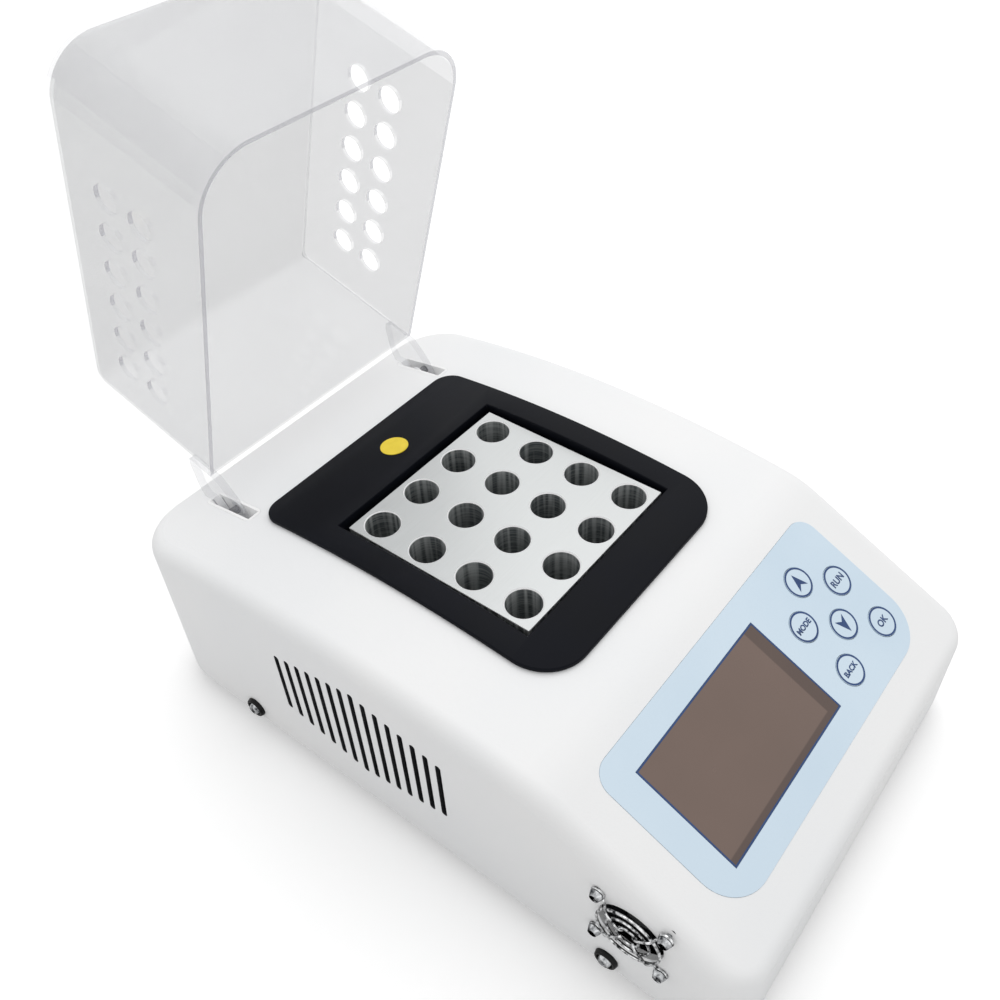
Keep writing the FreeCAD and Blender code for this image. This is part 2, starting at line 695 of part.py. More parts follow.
def heating_block():
    half = BLOCK_WIDTH / 2
    block = box(-half, half, -half, half, BLOCK_BOTTOM, BLOCK_TOP)
    for x, y in well_places():
        floor = FreeCAD.Vector(x, y, BLOCK_TOP - WELL_DEPTH)
        mouth = FreeCAD.Vector(x, y, BLOCK_TOP - WELL_CHAMFER)
        block = block.cut(rod(WELL_RADIUS, WELL_DEPTH * 2, floor, Z_AXIS))
        block = block.cut(Part.makeCone(WELL_RADIUS, WELL_RADIUS + WELL_CHAMFER,
                                        WELL_CHAMFER, mouth, Z_AXIS))
    for x in heater_places():
        start = FreeCAD.Vector(x, half, BLOCK_BOTTOM + HEATER_RISE)
        hole = HEATER_RADIUS if x else PROBE_RADIUS
        length = HEATER_LENGTH if x else PROBE_LENGTH
        block = block.cut(rod(hole + HEATER_GAP, length + HEATER_GAP, start, Y_AXIS * -1))
    return block


def heater_cartridges():
    rods = []
    for x in heater_places():
        if x:
            mouth = FreeCAD.Vector(x, BLOCK_WIDTH / 2, BLOCK_BOTTOM + HEATER_RISE)
            body = rod(HEATER_RADIUS, HEATER_LENGTH, mouth, Y_AXIS * -1)
            lead = rod(HEATER_LEAD_RADIUS, HEATER_LEAD_LENGTH + JACKET_WALL, mouth, Y_AXIS)
            rods.append(body.fuse(lead))
    return Part.makeCompound(rods)


def temperature_probe():
    mouth = FreeCAD.Vector(0, BLOCK_WIDTH / 2, BLOCK_BOTTOM + PROBE_RISE)
    body = rod(PROBE_RADIUS, PROBE_LENGTH, mouth, Y_AXIS * -1)
    head = rod(PROBE_HEAD_RADIUS, PROBE_HEAD_LENGTH + JACKET_WALL, mouth, Y_AXIS)
    return body.fuse(head)


def insulation_jacket():
    inner = BLOCK_WIDTH / 2 + JACKET_GAP
    outer = JACKET_REACH
    top = BLOCK_TOP - JACKET_DROP
    jacket = box(-outer, outer, -outer, outer, BLOCK_BOTTOM - JACKET_FLOOR, top)
    jacket = jacket.cut(box(-inner, inner, -inner, inner, BLOCK_BOTTOM, top + JACKET_DROP))
    for x in heater_places():
        start = FreeCAD.Vector(x, inner - JACKET_GAP * 2, BLOCK_BOTTOM + HEATER_RISE)
        jacket = jacket.cut(rod(JACKET_LEAD_RADIUS, JACKET_WALL * 2, start, Y_AXIS))
    return jacket


def block_legs():
    half = LEG_PITCH / 2
    legs = []
    for x in (-half, half):
        for y in (-half, half):
            base = FreeCAD.Vector(x, y, COVER_BOTTOM)
            tall = BLOCK_BOTTOM - JACKET_FLOOR - COVER_BOTTOM
            legs.append(rod(LEG_RADIUS, tall, base, Z_AXIS))
    return Part.makeCompound(legs)


def bezel_frame():
    """A plate bent to the crown of the deck, with a lip down round the block."""
    tall = BEZEL_THICK * 2
    plate = box(-BEZEL_HALF_WIDTH, BEZEL_HALF_WIDTH, -BEZEL_FRONT, BEZEL_BACK,
                DECK_TOP - BEZEL_LIP_DEPTH, DECK_TOP + tall)
    plate = round_uprights(plate, BEZEL_FRONT_RADIUS, BEZEL_BACK_RADIUS)
    drum = crown_disc(BEZEL_THICK, BODY_WIDTH)
    plate = plate.common(drum.cut(crown_disc(0, BODY_WIDTH)))
    inner = BEZEL_WINDOW / 2
    outer = inner + BEZEL_LIP_WALL
    middle = BEZEL_WINDOW_REACH
    low = DECK_TOP - BEZEL_LIP_DEPTH
    lip = box(-outer, outer, middle - outer, middle + outer, low, DECK_TOP + tall)
    lip = lip.common(crown_disc(BEZEL_THICK / 2, BODY_WIDTH))
    window = box(-inner, inner, middle - inner, middle + inner, low - tall, DECK_TOP + tall)
    return plate.fuse(lip).cut(window).removeSplitter()


def marker_dot():
    lean = math.asin((DOT_REACH - CROWN_REACH) / (CROWN_RADIUS + BEZEL_THICK))
    dot = rod(DOT_RADIUS, DOT_THICK, FreeCAD.Vector(), Z_AXIS)
    dot.rotate(FreeCAD.Vector(), X_AXIS, -math.degrees(lean))
    place = FreeCAD.Vector(DOT_SIDE, DOT_REACH, deck_height(DOT_REACH, BEZEL_THICK))
    dot.translate(place)
    return dot


def fan_z():
    return DECK_TOP - FAN_DROP


def fan_x():
    """Outer face of the fan, held off the inside of the left wall."""
    return COVER_WALL - SIDE_REACH + FAN_SPACER


def fan_frame():
    half = FAN_SIZE / 2
    body = box(fan_x(), fan_x() + FAN_THICK, -FAN_REACH - half, half - FAN_REACH,
               fan_z() - half, fan_z() + half)
    corners = [edge for edge in body.Edges
               if edge.BoundBox.XLength > FAN_THICK / 2]
    body = body.makeFillet(FAN_CORNER, corners)
    for y, z in fan_screw_places():
        start = FreeCAD.Vector(fan_x(), y, z)
        body = body.fuse(rod(FAN_LUG_RADIUS, FAN_LUG_THICK, start, X_AXIS))
    centre = FreeCAD.Vector(fan_x(), -FAN_REACH, fan_z())
    body = body.cut(rod(FAN_BORE_RADIUS, FAN_THICK, centre, X_AXIS))
    back = FreeCAD.Vector(fan_x() + FAN_THICK - FAN_STRUT_THICK, -FAN_REACH, fan_z())
    hub = rod(FAN_HUB_RADIUS, FAN_STRUT_THICK, back, X_AXIS)
    for number in range(FAN_STRUT_COUNT):
        arm = Part.makeBox(FAN_STRUT_THICK, FAN_STRUT_WIDTH, FAN_SIZE / 2 - FAN_CORNER / 5,
                           back - Y_AXIS * (FAN_STRUT_WIDTH / 2))
        arm.rotate(back, X_AXIS, 360 * number / FAN_STRUT_COUNT)
        hub = hub.fuse(arm)
    body = body.fuse(hub)
    hole = FAN_SHAFT_RADIUS + FAN_SHAFT_GAP
    body = body.cut(rod(hole, FAN_THICK, centre, X_AXIS))
    for y, z in fan_screw_places():
        start = FreeCAD.Vector(fan_x(), y, z)
        body = body.cut(rod(FAN_HOLE_RADIUS, FAN_THICK, start, X_AXIS))
    return body.removeSplitter()


def fan_spacers():
    sleeves = []
    for y, z in fan_screw_places():
        start = FreeCAD.Vector(COVER_WALL - SIDE_REACH, y, z)
        sleeve = rod(FAN_LUG_RADIUS, FAN_SPACER, start, X_AXIS)
        sleeves.append(sleeve.cut(rod(FAN_HOLE_RADIUS, FAN_SPACER, start, X_AXIS)))
    return Part.makeCompound(sleeves)


def fan_rotor():
    start = FreeCAD.Vector(fan_x() + FAN_FACE_GAP, -FAN_REACH, fan_z())
    deep = FAN_THICK - FAN_STRUT_THICK - FAN_FACE_GAP - FAN_END_GAP
    hub = rod(FAN_HUB_RADIUS, deep, start, X_AXIS)
    shaft = FAN_THICK - FAN_FACE_GAP
    hub = hub.fuse(rod(FAN_SHAFT_RADIUS, shaft, start, X_AXIS))
    middle = start + X_AXIS * (deep / 2)
    for number in range(FAN_BLADE_COUNT):
        root = FAN_HUB_RADIUS * 2 / 3
        corner = FreeCAD.Vector(-FAN_BLADE_DEPTH / 2, -FAN_BLADE_THICK / 2, root)
        blade = Part.makeBox(FAN_BLADE_DEPTH, FAN_BLADE_THICK, FAN_BLADE_RADIUS - root, corner)
        blade.rotate(FreeCAD.Vector(), Z_AXIS, FAN_BLADE_PITCH)
        blade.rotate(FreeCAD.Vector(), X_AXIS, 360 * number / FAN_BLADE_COUNT)
        blade.translate(middle)
        hub = hub.fuse(blade)
    keep = rod(FAN_BLADE_RADIUS, shaft, start, X_AXIS)
    return hub.common(keep).removeSplitter()


def finger_guard():
    wire = GUARD_WIRE_RADIUS
    low = -SIDE_REACH - wire
    high = low - wire * 2 + GUARD_SINK
    parts = []
    for radius in GUARD_RINGS:
        centre = FreeCAD.Vector(high, -FAN_REACH, fan_z())
        parts.append(Part.makeTorus(radius, wire, centre, X_AXIS))
    for y, z in fan_screw_places():
        parts.append(Part.makeTorus(GUARD_LOOP_RADIUS, wire, FreeCAD.Vector(low, y, z), X_AXIS))
    reach = math.hypot(FAN_PITCH, FAN_PITCH) / 2 - GUARD_LOOP_RADIUS
    for number in range(FAN_STRUT_COUNT):
        turn = math.pi / 4 + math.pi / 2 * number
        out = FreeCAD.Vector(0, math.cos(turn), math.sin(turn))
        start = FreeCAD.Vector(low, -FAN_REACH, fan_z()) + out * GUARD_RINGS[0]
        parts.append(rod(wire, reach - GUARD_RINGS[0], start, out))
    guard = parts[0]
    for piece in parts[1:]:
        guard = guard.fuse(piece)
    return guard


def fan_screws():
    screws = []
    outward = X_AXIS * -1
    for y, z in fan_screw_places():
        place = FreeCAD.Vector(-SIDE_REACH - GUARD_WIRE_RADIUS * 2, y, z)
        screws.append(cross_screw(place, outward, FAN_SCREW_RADIUS, FAN_SCREW_HEAD_RADIUS,
                                  FAN_SCREW_HEAD_HEIGHT, FAN_SCREW_LENGTH))
    return Part.makeCompound(screws)


def membrane_panel():
    top = PANEL_THICK - PANEL_SINK
    sheet = panel_outline(0, -PANEL_SINK, top)
    sheet = sheet.cut(slope_box(WINDOW_LEFT - WINDOW_GAP, WINDOW_RIGHT + WINDOW_GAP,
                                WINDOW_TOP - WINDOW_GAP, WINDOW_BOTTOM + WINDOW_GAP,
                                -PANEL_THICK, PANEL_THICK))
    for x, reach in key_places().values():
        sheet = sheet.cut(slope_disc(x, reach, KEY_RADIUS + KEY_GAP, -PANEL_THICK, PANEL_THICK))
    return sheet


def display_window():
    top = PANEL_THICK - PANEL_SINK
    return slope_box(WINDOW_LEFT, WINDOW_RIGHT, WINDOW_TOP, WINDOW_BOTTOM,
                     top - WINDOW_THICK, top)


def lcd_module():
    top = -COVER_WALL - LCD_GAP
    inset = LCD_MARGIN
    return slope_box(WINDOW_LEFT - inset, WINDOW_RIGHT + inset, WINDOW_TOP - inset,
                     WINDOW_BOTTOM + inset, top - LCD_THICK, top)


def display_board():
    top = -COVER_WALL - LCD_GAP - LCD_THICK
    grow = DISPLAY_BOARD_MARGIN
    return slope_box(WINDOW_LEFT - grow, WINDOW_RIGHT + LCD_MARGIN, WINDOW_TOP - grow,
                     WINDOW_BOTTOM + LCD_MARGIN, top - BOARD_THICK, top)


def key_flange_top():
    return -COVER_WALL - KEY_PROUD / 2


def key_cap(x, reach):
    top = PANEL_THICK - PANEL_SINK + KEY_PROUD
    under = key_flange_top()
    cap = slope_disc(x, reach, KEY_RADIUS, under - KEY_FLANGE_THICK, top)
    cap = cap.fuse(slope_disc(x, reach, KEY_RADIUS + KEY_FLANGE,
                              under - KEY_FLANGE_THICK, under))
    stem = under - KEY_FLANGE_THICK - KEY_STEM_LENGTH
    cap = cap.fuse(slope_disc(x, reach, KEY_STEM_RADIUS, stem, under))
    return cap.removeSplitter()


def key_board_top():
    stem_end = key_flange_top() - KEY_FLANGE_THICK - KEY_STEM_LENGTH
    return stem_end - KEY_TRAVEL - SWITCH_GAP - SWITCH_HEIGHT


def key_board():
    top = key_board_top()
    edge = KEY_BOARD_MARGIN
    return slope_box(KEY_COLUMNS[0] - edge, KEY_COLUMNS[-1] + edge, KEY_ROWS[0] - edge,
                     KEY_ROWS[-1] + edge, top - BOARD_THICK, top)


def key_switches():
    top = key_board_top()
    half = SWITCH_SIZE / 2
    body = SWITCH_HEIGHT - SWITCH_PLUNGER_HEIGHT
    parts = []
    for x, reach in key_places().values():
        case = slope_box(x - half, x + half, reach - half, reach + half, top, top + body)
        plunger = slope_disc(x, reach, SWITCH_PLUNGER_RADIUS, top, top + SWITCH_HEIGHT)
        parts.append(case.fuse(plunger))
    return Part.makeCompound(parts)


def lid_open(shape):
    """Tip a shape drawn for the closed lid (hinge end at y 0, rim at z 0) to its open place."""
    placed = shape.copy()
    placed.rotate(FreeCAD.Vector(), X_AXIS, -LID_OPEN_ANGLE)
    placed.translate(FreeCAD.Vector(0, LID_OPEN_REACH, DECK_TOP + LID_OPEN_RISE))
    return placed


def hood_outline(inset, z0, z1):
    half = HOOD_WIDTH / 2 - inset
    front = inset - HOOD_LENGTH
    shape = box(-half, half, front, 0, z0, z1)
    corners = []
    for edge in vertical_edges(shape):
        if edge.BoundBox.YMax < front / 2:
            corners.append(edge)
    return shape.makeFillet(HOOD_RADIUS - inset, corners)


def lid_wall():
    wall = hood_outline(0, 0, HOOD_DEPTH).cut(hood_outline(HOOD_SHEET, 0, HOOD_DEPTH))
    start_x = -HOOD_WIDTH / 2
    for number in range(LID_HOLE_COUNT):
        for share in LID_HOLE_ROW_SHARES:
            along = LID_HOLE_FIRST - LID_HOLE_PITCH * number
            start = FreeCAD.Vector(start_x, -along, HOOD_DEPTH * share)
            wall = wall.cut(rod(LID_HOLE_RADIUS, HOOD_WIDTH, start, X_AXIS))
    return lid_open(wall)


def lid_top():
    """Top and back of the hood, one sheet bent along the hinge end."""
    outer = hood_outline(HOOD_SHEET, 0, HOOD_DEPTH)
    bend = []
    for edge in outer.Edges:
        middle = edge.BoundBox
        if middle.YMin > -NEAR and middle.ZMin > HOOD_DEPTH - NEAR:
            bend.append(edge)
    outer = outer.makeFillet(HOOD_BEND, bend)
    sheet = HOOD_SHEET
    far = HOOD_LENGTH + HOOD_WIDTH
    half = HOOD_WIDTH / 2
    inner = box(-half, half, -far, -sheet, -sheet, HOOD_DEPTH - sheet)
    edge = [e for e in inner.Edges if e.BoundBox.YMin > -sheet - NEAR
            and e.BoundBox.ZMin > HOOD_DEPTH - sheet - NEAR]
    inner = inner.makeFillet(HOOD_BEND - sheet, edge)
    return lid_open(outer.cut(inner))


def ear(side):
    """Clear plate that carries one rear corner of the hood to its hinge pin."""
    inner = HOOD_WIDTH / 2 - EAR_WIDTH
    x0 = inner if side > 0 else -inner - EAR_WIDTH
    points = [FreeCAD.Vector(x0, EAR_REACH * s, EAR_DROP * v) for s, v in EAR_SHARES]
    shape = Part.Face(Part.makePolygon(points + points[:1])).extrude(X_AXIS * EAR_WIDTH)
    shape = lid_open(shape)
    axis = FreeCAD.Vector(x0, HINGE_Y, HINGE_Z)
    shape = shape.fuse(rod(EAR_PIVOT_RADIUS, EAR_WIDTH, axis, X_AXIS))
    sunk = box(x0, x0 + EAR_WIDTH, HINGE_Y, HINGE_Y + HOOD_DEPTH, HINGE_Z - HOOD_DEPTH,
               deck_height(CUP_BACK, EAR_RIM_GAP))
    shape = shape.cut(sunk.cut(trough(side, -EAR_RIM_GAP)))
    shape = shape.cut(rod(PIN_RADIUS + PIN_GAP, EAR_WIDTH, axis, X_AXIS))
    return shape.removeSplitter()


def cup_span(side, grow):
    """The two X ends of one hinge cup, grown outward."""
    ends = (CUP_INSIDE - grow, CUP_OUTSIDE + grow)
    return ends if side > 0 else (-ends[1], -ends[0])


def cup_box(side, grow, z0, z1):
    """Plan of one hinge cup, grown outward."""
    x0, x1 = cup_span(side, grow)
    return rounded_box(x0, x1, CUP_FRONT - grow, CUP_BACK + grow, z0, z1, CUP_RADIUS + grow)


def trough(side, grow):
    """The hollow of one cup: leaning ends that run into a round bottom about the pin."""
    x0, x1 = cup_span(side, grow)
    radius = EAR_PIVOT_RADIUS + CUP_TROUGH_GAP + grow
    outline = []
    for reach, turn in ((CUP_FRONT - grow, 1), (CUP_BACK + grow, -1)):
        rim = deck_height(reach, 0)
        away = math.hypot(reach - HINGE_Y, rim - HINGE_Z)
        angle = math.atan2(rim - HINGE_Z, reach - HINGE_Y) + turn * math.acos(radius / away)
        ends = [(reach, rim + CUP_WALL * 2), (reach, rim),
                (HINGE_Y + radius * math.cos(angle), HINGE_Z + radius * math.sin(angle))]
        outline.extend(ends if turn > 0 else reversed(ends))
    points = [FreeCAD.Vector(x0, y, z) for y, z in outline]
    shape = Part.Face(Part.makePolygon(points + points[:1])).extrude(X_AXIS * (x1 - x0))
    return shape.fuse(rod(radius, x1 - x0, FreeCAD.Vector(x0, HINGE_Y, HINGE_Z), X_AXIS))


def hinge_cup(side):
    cup = trough(side, CUP_WALL).common(cup_box(side, CUP_WALL, 0, DECK_TOP * 2))
    cup = cup.cut(trough(side, 0)).common(crown_disc(0, BODY_WIDTH))
    start = FreeCAD.Vector(-BODY_WIDTH / 2, HINGE_Y, HINGE_Z)
    return cup.cut(rod(PIN_RADIUS, BODY_WIDTH, start, X_AXIS)).removeSplitter()


def hinge_pins():
    pins = []
    length = CUP_OUTSIDE - CUP_INSIDE + CUP_WALL * 2
    for x in (CUP_INSIDE - CUP_WALL, -CUP_OUTSIDE - CUP_WALL):
        pins.append(rod(PIN_RADIUS, length, FreeCAD.Vector(x, HINGE_Y, HINGE_Z), X_AXIS))
    return Part.makeCompound(pins)


def pin_spacers():
    rings = []
    inner = HOOD_WIDTH / 2 - EAR_WIDTH
    length = inner - CUP_INSIDE - SPACER_GAP
    for x in (CUP_INSIDE, -CUP_INSIDE - length):
        start = FreeCAD.Vector(x, HINGE_Y, HINGE_Z)
        ring = rod(SPACER_RADIUS, length, start, X_AXIS)
        rings.append(ring.cut(rod(PIN_RADIUS, length, start, X_AXIS)))
    return Part.makeCompound(rings)


def inlet_z():
    return COVER_BOTTOM + INLET_RISE


def inlet_box(left, rise, width, height, y0, y1):
    return box(left - width / 2, left + width / 2, y0, y1, rise - height / 2, rise + height / 2)


def power_inlet():
    face = BACK_REACH + INLET_FLANGE_THICK
    inner = BACK_REACH - INLET_BODY_DEPTH
    body = inlet_box(INLET_LEFT, inlet_z(), INLET_FLANGE_WIDTH, INLET_FLANGE_HEIGHT,
                     BACK_REACH, face)
    body = body.fuse(inlet_box(INLET_LEFT, inlet_z(), INLET_BODY_WIDTH, INLET_BODY_HEIGHT,
                               inner, face))
    rise = inlet_z() + INLET_SOCKET_RISE
    socket = inlet_box(INLET_LEFT, rise, INLET_SOCKET_WIDTH, INLET_SOCKET_HEIGHT,
                       face - INLET_SOCKET_DEPTH, face)
    body = body.cut(socket)
    drawer = inlet_box(INLET_LEFT, inlet_z() + FUSE_RISE, FUSE_WIDTH + FUSE_GAP * 2,
                       FUSE_HEIGHT + FUSE_GAP * 2, face - FUSE_DEPTH - FUSE_GAP, face)
    return body.cut(drawer).removeSplitter()


def inlet_blades():
    face = BACK_REACH + INLET_FLANGE_THICK
    floor = face - INLET_SOCKET_DEPTH
    rise = inlet_z() + INLET_SOCKET_RISE
    blades = []
    for step, lift in ((-1, 0), (0, 1), (1, 0)):
        left = INLET_LEFT + step * INLET_BLADE_PITCH
        blades.append(inlet_box(left, rise + lift * INLET_BLADE_THICK / 2, INLET_BLADE_WIDTH,
                                INLET_BLADE_THICK, floor, floor + INLET_BLADE_LENGTH))
    return Part.makeCompound(blades)


def fuse_drawer():
    face = BACK_REACH + INLET_FLANGE_THICK
    rise = inlet_z() + FUSE_RISE
    back = face - FUSE_DEPTH
    body = inlet_box(INLET_LEFT, rise, FUSE_WIDTH, FUSE_HEIGHT, back, face)
    tray = box(INLET_LEFT - FUSE_WIDTH / 2 + FUSE_WALL, INLET_LEFT + FUSE_WIDTH / 2 - FUSE_WALL,
               back + FUSE_WALL, face - FUSE_WALL * 2, rise - FUSE_HEIGHT / 2 + FUSE_WALL,
               rise + FUSE_HEIGHT)
    body = body.cut(tray)
    grip = inlet_box(INLET_LEFT, rise, FUSE_GRIP_WIDTH, FUSE_GRIP_HEIGHT, face,
                     face + FUSE_GRIP)
    return body.fuse(grip).removeSplitter()


def rocker_z():
    return COVER_BOTTOM + ROCKER_RISE


def rocker_axis_y():
    return BACK_REACH + ROCKER_FLANGE_THICK - ROCKER_CAP_DEPTH / 2


def switch_body():
    face = BACK_REACH + ROCKER_FLANGE_THICK
    body = inlet_box(ROCKER_LEFT, rocker_z(), ROCKER_FLANGE_WIDTH, ROCKER_FLANGE_HEIGHT,
                     BACK_REACH, face)
    body = body.fuse(inlet_box(ROCKER_LEFT, rocker_z(), ROCKER_BODY_WIDTH, ROCKER_BODY_HEIGHT,
                               BACK_REACH - ROCKER_BODY_DEPTH, face))
    body = body.cut(inlet_box(ROCKER_LEFT, rocker_z(), ROCKER_CAP_WIDTH + FUSE_GAP * 2,
                              ROCKER_CAP_HEIGHT + ROCKER_WELL_GAP * 2,
                              face - ROCKER_WELL_DEPTH, face))
    length = ROCKER_BODY_WIDTH - FUSE_WALL
    start = FreeCAD.Vector(ROCKER_LEFT - length / 2, rocker_axis_y(), rocker_z())
    hole = ROCKER_PIN_RADIUS + ROCKER_PIN_GAP
    return body.cut(rod(hole, length, start, X_AXIS)).removeSplitter()


def rocker_cap():
    """A cap with two leaning faces, tipped to its off position."""
    half = ROCKER_CAP_HEIGHT / 2
    rise = ROCKER_CAP_DEPTH / 2
    lean = half * math.tan(math.radians(ROCKER_TILT))
    outline = [(-rise, -half), (-rise, half), (rise + lean, half), (rise, 0),
               (rise + lean, -half)]
    left = ROCKER_LEFT - ROCKER_CAP_WIDTH / 2
    points = [FreeCAD.Vector(left, rocker_axis_y() + y, rocker_z() + z) for y, z in outline]
    cap = Part.Face(Part.makePolygon(points + points[:1])).extrude(X_AXIS * ROCKER_CAP_WIDTH)
    length = ROCKER_BODY_WIDTH - FUSE_WALL - FUSE_GAP * 2
    start = FreeCAD.Vector(ROCKER_LEFT - length / 2, rocker_axis_y(), rocker_z())
    cap = cap.fuse(rod(ROCKER_PIN_RADIUS, length, start, X_AXIS)).removeSplitter()
    axis = FreeCAD.Vector(ROCKER_LEFT, rocker_axis_y(), rocker_z())
    cap.rotate(axis, X_AXIS, ROCKER_TILT)
    return cap


def power_supply():
    low = COVER_BOTTOM + BOARD_STANDOFF
    return box(POWER_LEFT, POWER_LEFT + POWER_WIDTH, POWER_FRONT, POWER_FRONT + POWER_DEPTH,
               low, low + POWER_HEIGHT)


def board_posts():
    posts = []
    spans = (
        (POWER_LEFT, POWER_WIDTH, POWER_FRONT, POWER_DEPTH),
        (MAIN_LEFT, MAIN_WIDTH, -MAIN_FRONT, MAIN_DEPTH),
    )
    for left, width, front, depth in spans:
        for x in (left + BOARD_STANDOFF, left + width - BOARD_STANDOFF):
            for y in (front + BOARD_STANDOFF, front + depth - BOARD_STANDOFF):
                base = FreeCAD.Vector(x, y, COVER_BOTTOM)
                posts.append(rod(BOARD_STANDOFF / 2, BOARD_STANDOFF, base, Z_AXIS))
    return Part.makeCompound(posts)


def main_board():
    low = COVER_BOTTOM + BOARD_STANDOFF
    return box(MAIN_LEFT, MAIN_LEFT + MAIN_WIDTH, -MAIN_FRONT, MAIN_DEPTH - MAIN_FRONT,
               low, low + BOARD_THICK)


def board_parts():
    top = COVER_BOTTOM + BOARD_STANDOFF + BOARD_THICK
    left = MAIN_LEFT + BOARD_STANDOFF * 2
    front = BOARD_STANDOFF * 2 - MAIN_FRONT
    parts = [box(left, left + CHIP_SIZE, front, front + CHIP_SIZE, top, top + CHIP_HEIGHT)]
    row = front + CHIP_SIZE * 2
    parts.append(box(left, left + PLUG_WIDTH, row, row + PLUG_DEPTH, top, top + PLUG_HEIGHT))
    row = row + PLUG_DEPTH * 2
    for number in range(CAP_COUNT):
        start = FreeCAD.Vector(left + CAP_RADIUS + CAP_RADIUS * 3 * number, row + CAP_RADIUS, top)
        parts.append(rod(CAP_RADIUS, CAP_HEIGHT, start, Z_AXIS))
    return Part.makeCompound(parts)


def relay():
    low = COVER_BOTTOM + BOARD_STANDOFF + BOARD_THICK
    return box(RELAY_LEFT, RELAY_LEFT + RELAY_WIDTH, -RELAY_FRONT, RELAY_DEPTH - RELAY_FRONT,
               low, low + RELAY_HEIGHT)


def heat_sink():
    low = COVER_BOTTOM + BOARD_STANDOFF + BOARD_THICK + RELAY_HEIGHT
    left = RELAY_LEFT + (RELAY_WIDTH - SINK_WIDTH) / 2
    front = -RELAY_FRONT + (RELAY_DEPTH - SINK_DEPTH) / 2
    sink = box(left, left + SINK_WIDTH, front, front + SINK_DEPTH, low, low + SINK_BASE)
    step = (SINK_WIDTH - SINK_FIN_THICK) / (SINK_FIN_COUNT - 1)
    for number in range(SINK_FIN_COUNT):
        x = left + step * number
        sink = sink.fuse(box(x, x + SINK_FIN_THICK, front, front + SINK_DEPTH, low,
                             low + SINK_HEIGHT))
    return sink.removeSplitter()


def nodes():
    made = {
        "top_cover": top_cover(),
        "base_tray": base_tray(),
        "rubber_feet": rubber_feet(),
        "cup_washers": cup_washers(),
        "cover_screws": cover_screws(),
        "heating_block": heating_block(),
        "heater_cartridges": heater_cartridges(),
        "temperature_probe": temperature_probe(),
        "insulation_jacket": insulation_jacket(),
        "block_legs": block_legs(),
        "bezel_frame": bezel_frame(),
        "marker_dot": marker_dot(),
        "fan_frame": fan_frame(),
        "fan_rotor": fan_rotor(),
        "finger_guard": finger_guard(),
        "fan_screws": fan_screws(),
        "fan_spacers": fan_spacers(),
        "membrane_panel": membrane_panel(),
        "display_window": display_window(),
        "lcd_module": lcd_module(),
        "display_board": display_board(),
        "key_board": key_board(),
        "key_switches": key_switches(),
        "lid_wall": lid_wall(),
        "lid_top": lid_top(),
        "lid_ear_left": ear(-1),
        "lid_ear_right": ear(1),
        "hinge_cup_left": hinge_cup(-1),
        "hinge_cup_right": hinge_cup(1),
        "hinge_pins": hinge_pins(),
        "pin_spacers": pin_spacers(),
        "power_inlet": power_inlet(),
        "inlet_blades": inlet_blades(),
        "fuse_drawer": fuse_drawer(),
        "switch_body": switch_body(),
        "rocker_cap": rocker_cap(),
        "power_supply": power_supply(),
        "board_posts": board_posts(),
        "main_board": main_board(),
        "board_parts": board_parts(),
        "relay": relay(),
        "heat_sink": heat_sink(),
    }
    for name, (x, reach) in key_places().items():
        made[name] = key_cap(x, reach)
    return made


made = nodes()
whole = Part.makeCompound(list(made.values())).BoundBox
shift = -(whole.YMin + whole.YMax) / 2
os.makedirs("parts", exist_ok=True)
for name, shape in made.items():
    shape.translate(Y_AXIS * shift)
    shape.exportStep("parts/" + name + ".step")
    print(name, shape.isValid(), len(shape.Solids), round(shape.Volume))
print("shift", shift)
print("hinge", HINGE_Y + shift, HINGE_Z)
print("fan", -FAN_REACH + shift, fan_z())
print("rocker", rocker_axis_y() + shift, rocker_z())
print("whole", whole)
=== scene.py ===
import bpy
import bmesh
import math
from mathutils import Matrix, Vector


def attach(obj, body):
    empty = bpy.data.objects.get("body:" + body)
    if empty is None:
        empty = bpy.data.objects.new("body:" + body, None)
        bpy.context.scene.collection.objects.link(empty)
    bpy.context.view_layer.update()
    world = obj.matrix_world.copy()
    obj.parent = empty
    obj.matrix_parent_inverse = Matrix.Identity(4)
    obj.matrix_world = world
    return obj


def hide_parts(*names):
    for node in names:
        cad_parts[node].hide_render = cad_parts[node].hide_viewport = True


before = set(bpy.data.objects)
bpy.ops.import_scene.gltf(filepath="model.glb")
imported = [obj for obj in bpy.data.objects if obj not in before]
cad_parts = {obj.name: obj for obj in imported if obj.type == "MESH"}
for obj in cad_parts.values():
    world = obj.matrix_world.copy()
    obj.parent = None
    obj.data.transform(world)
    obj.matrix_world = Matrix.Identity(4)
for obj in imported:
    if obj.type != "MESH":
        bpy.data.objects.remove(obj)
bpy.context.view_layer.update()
bpy.ops.object.select_all(action="DESELECT")
bpy.context.scene.view_settings.view_transform = "Standard"

# Camera: stands off the left front corner, higher than the open lid, and looks down
# at the wells and the control panel at the photograph's angle.
CAMERA_PLACE = Vector((-0.26150, -0.22153, 0.43925))
CAMERA_RIGHT = Vector((0.60171, -0.79843, -0.02126))
CAMERA_UP = Vector((0.57155, 0.41183, 0.70973))
CAMERA_LENS = 37.01
CAMERA_SENSOR = 36.0
CAMERA_SHIFT = (-0.0290, 0.0205)
CAMERA_NEAR = 0.01

bpy.ops.object.camera_add(location=CAMERA_PLACE)
camera = bpy.context.object
camera.name = "photo_camera"
turned = Matrix((CAMERA_RIGHT, CAMERA_UP, CAMERA_RIGHT.cross(CAMERA_UP))).transposed()
camera.rotation_euler = turned.to_euler()
camera.data.lens = CAMERA_LENS
camera.data.sensor_width = CAMERA_SENSOR
camera.data.shift_x, camera.data.shift_y = CAMERA_SHIFT
camera.data.clip_start = CAMERA_NEAR
bpy.context.scene.camera = camera


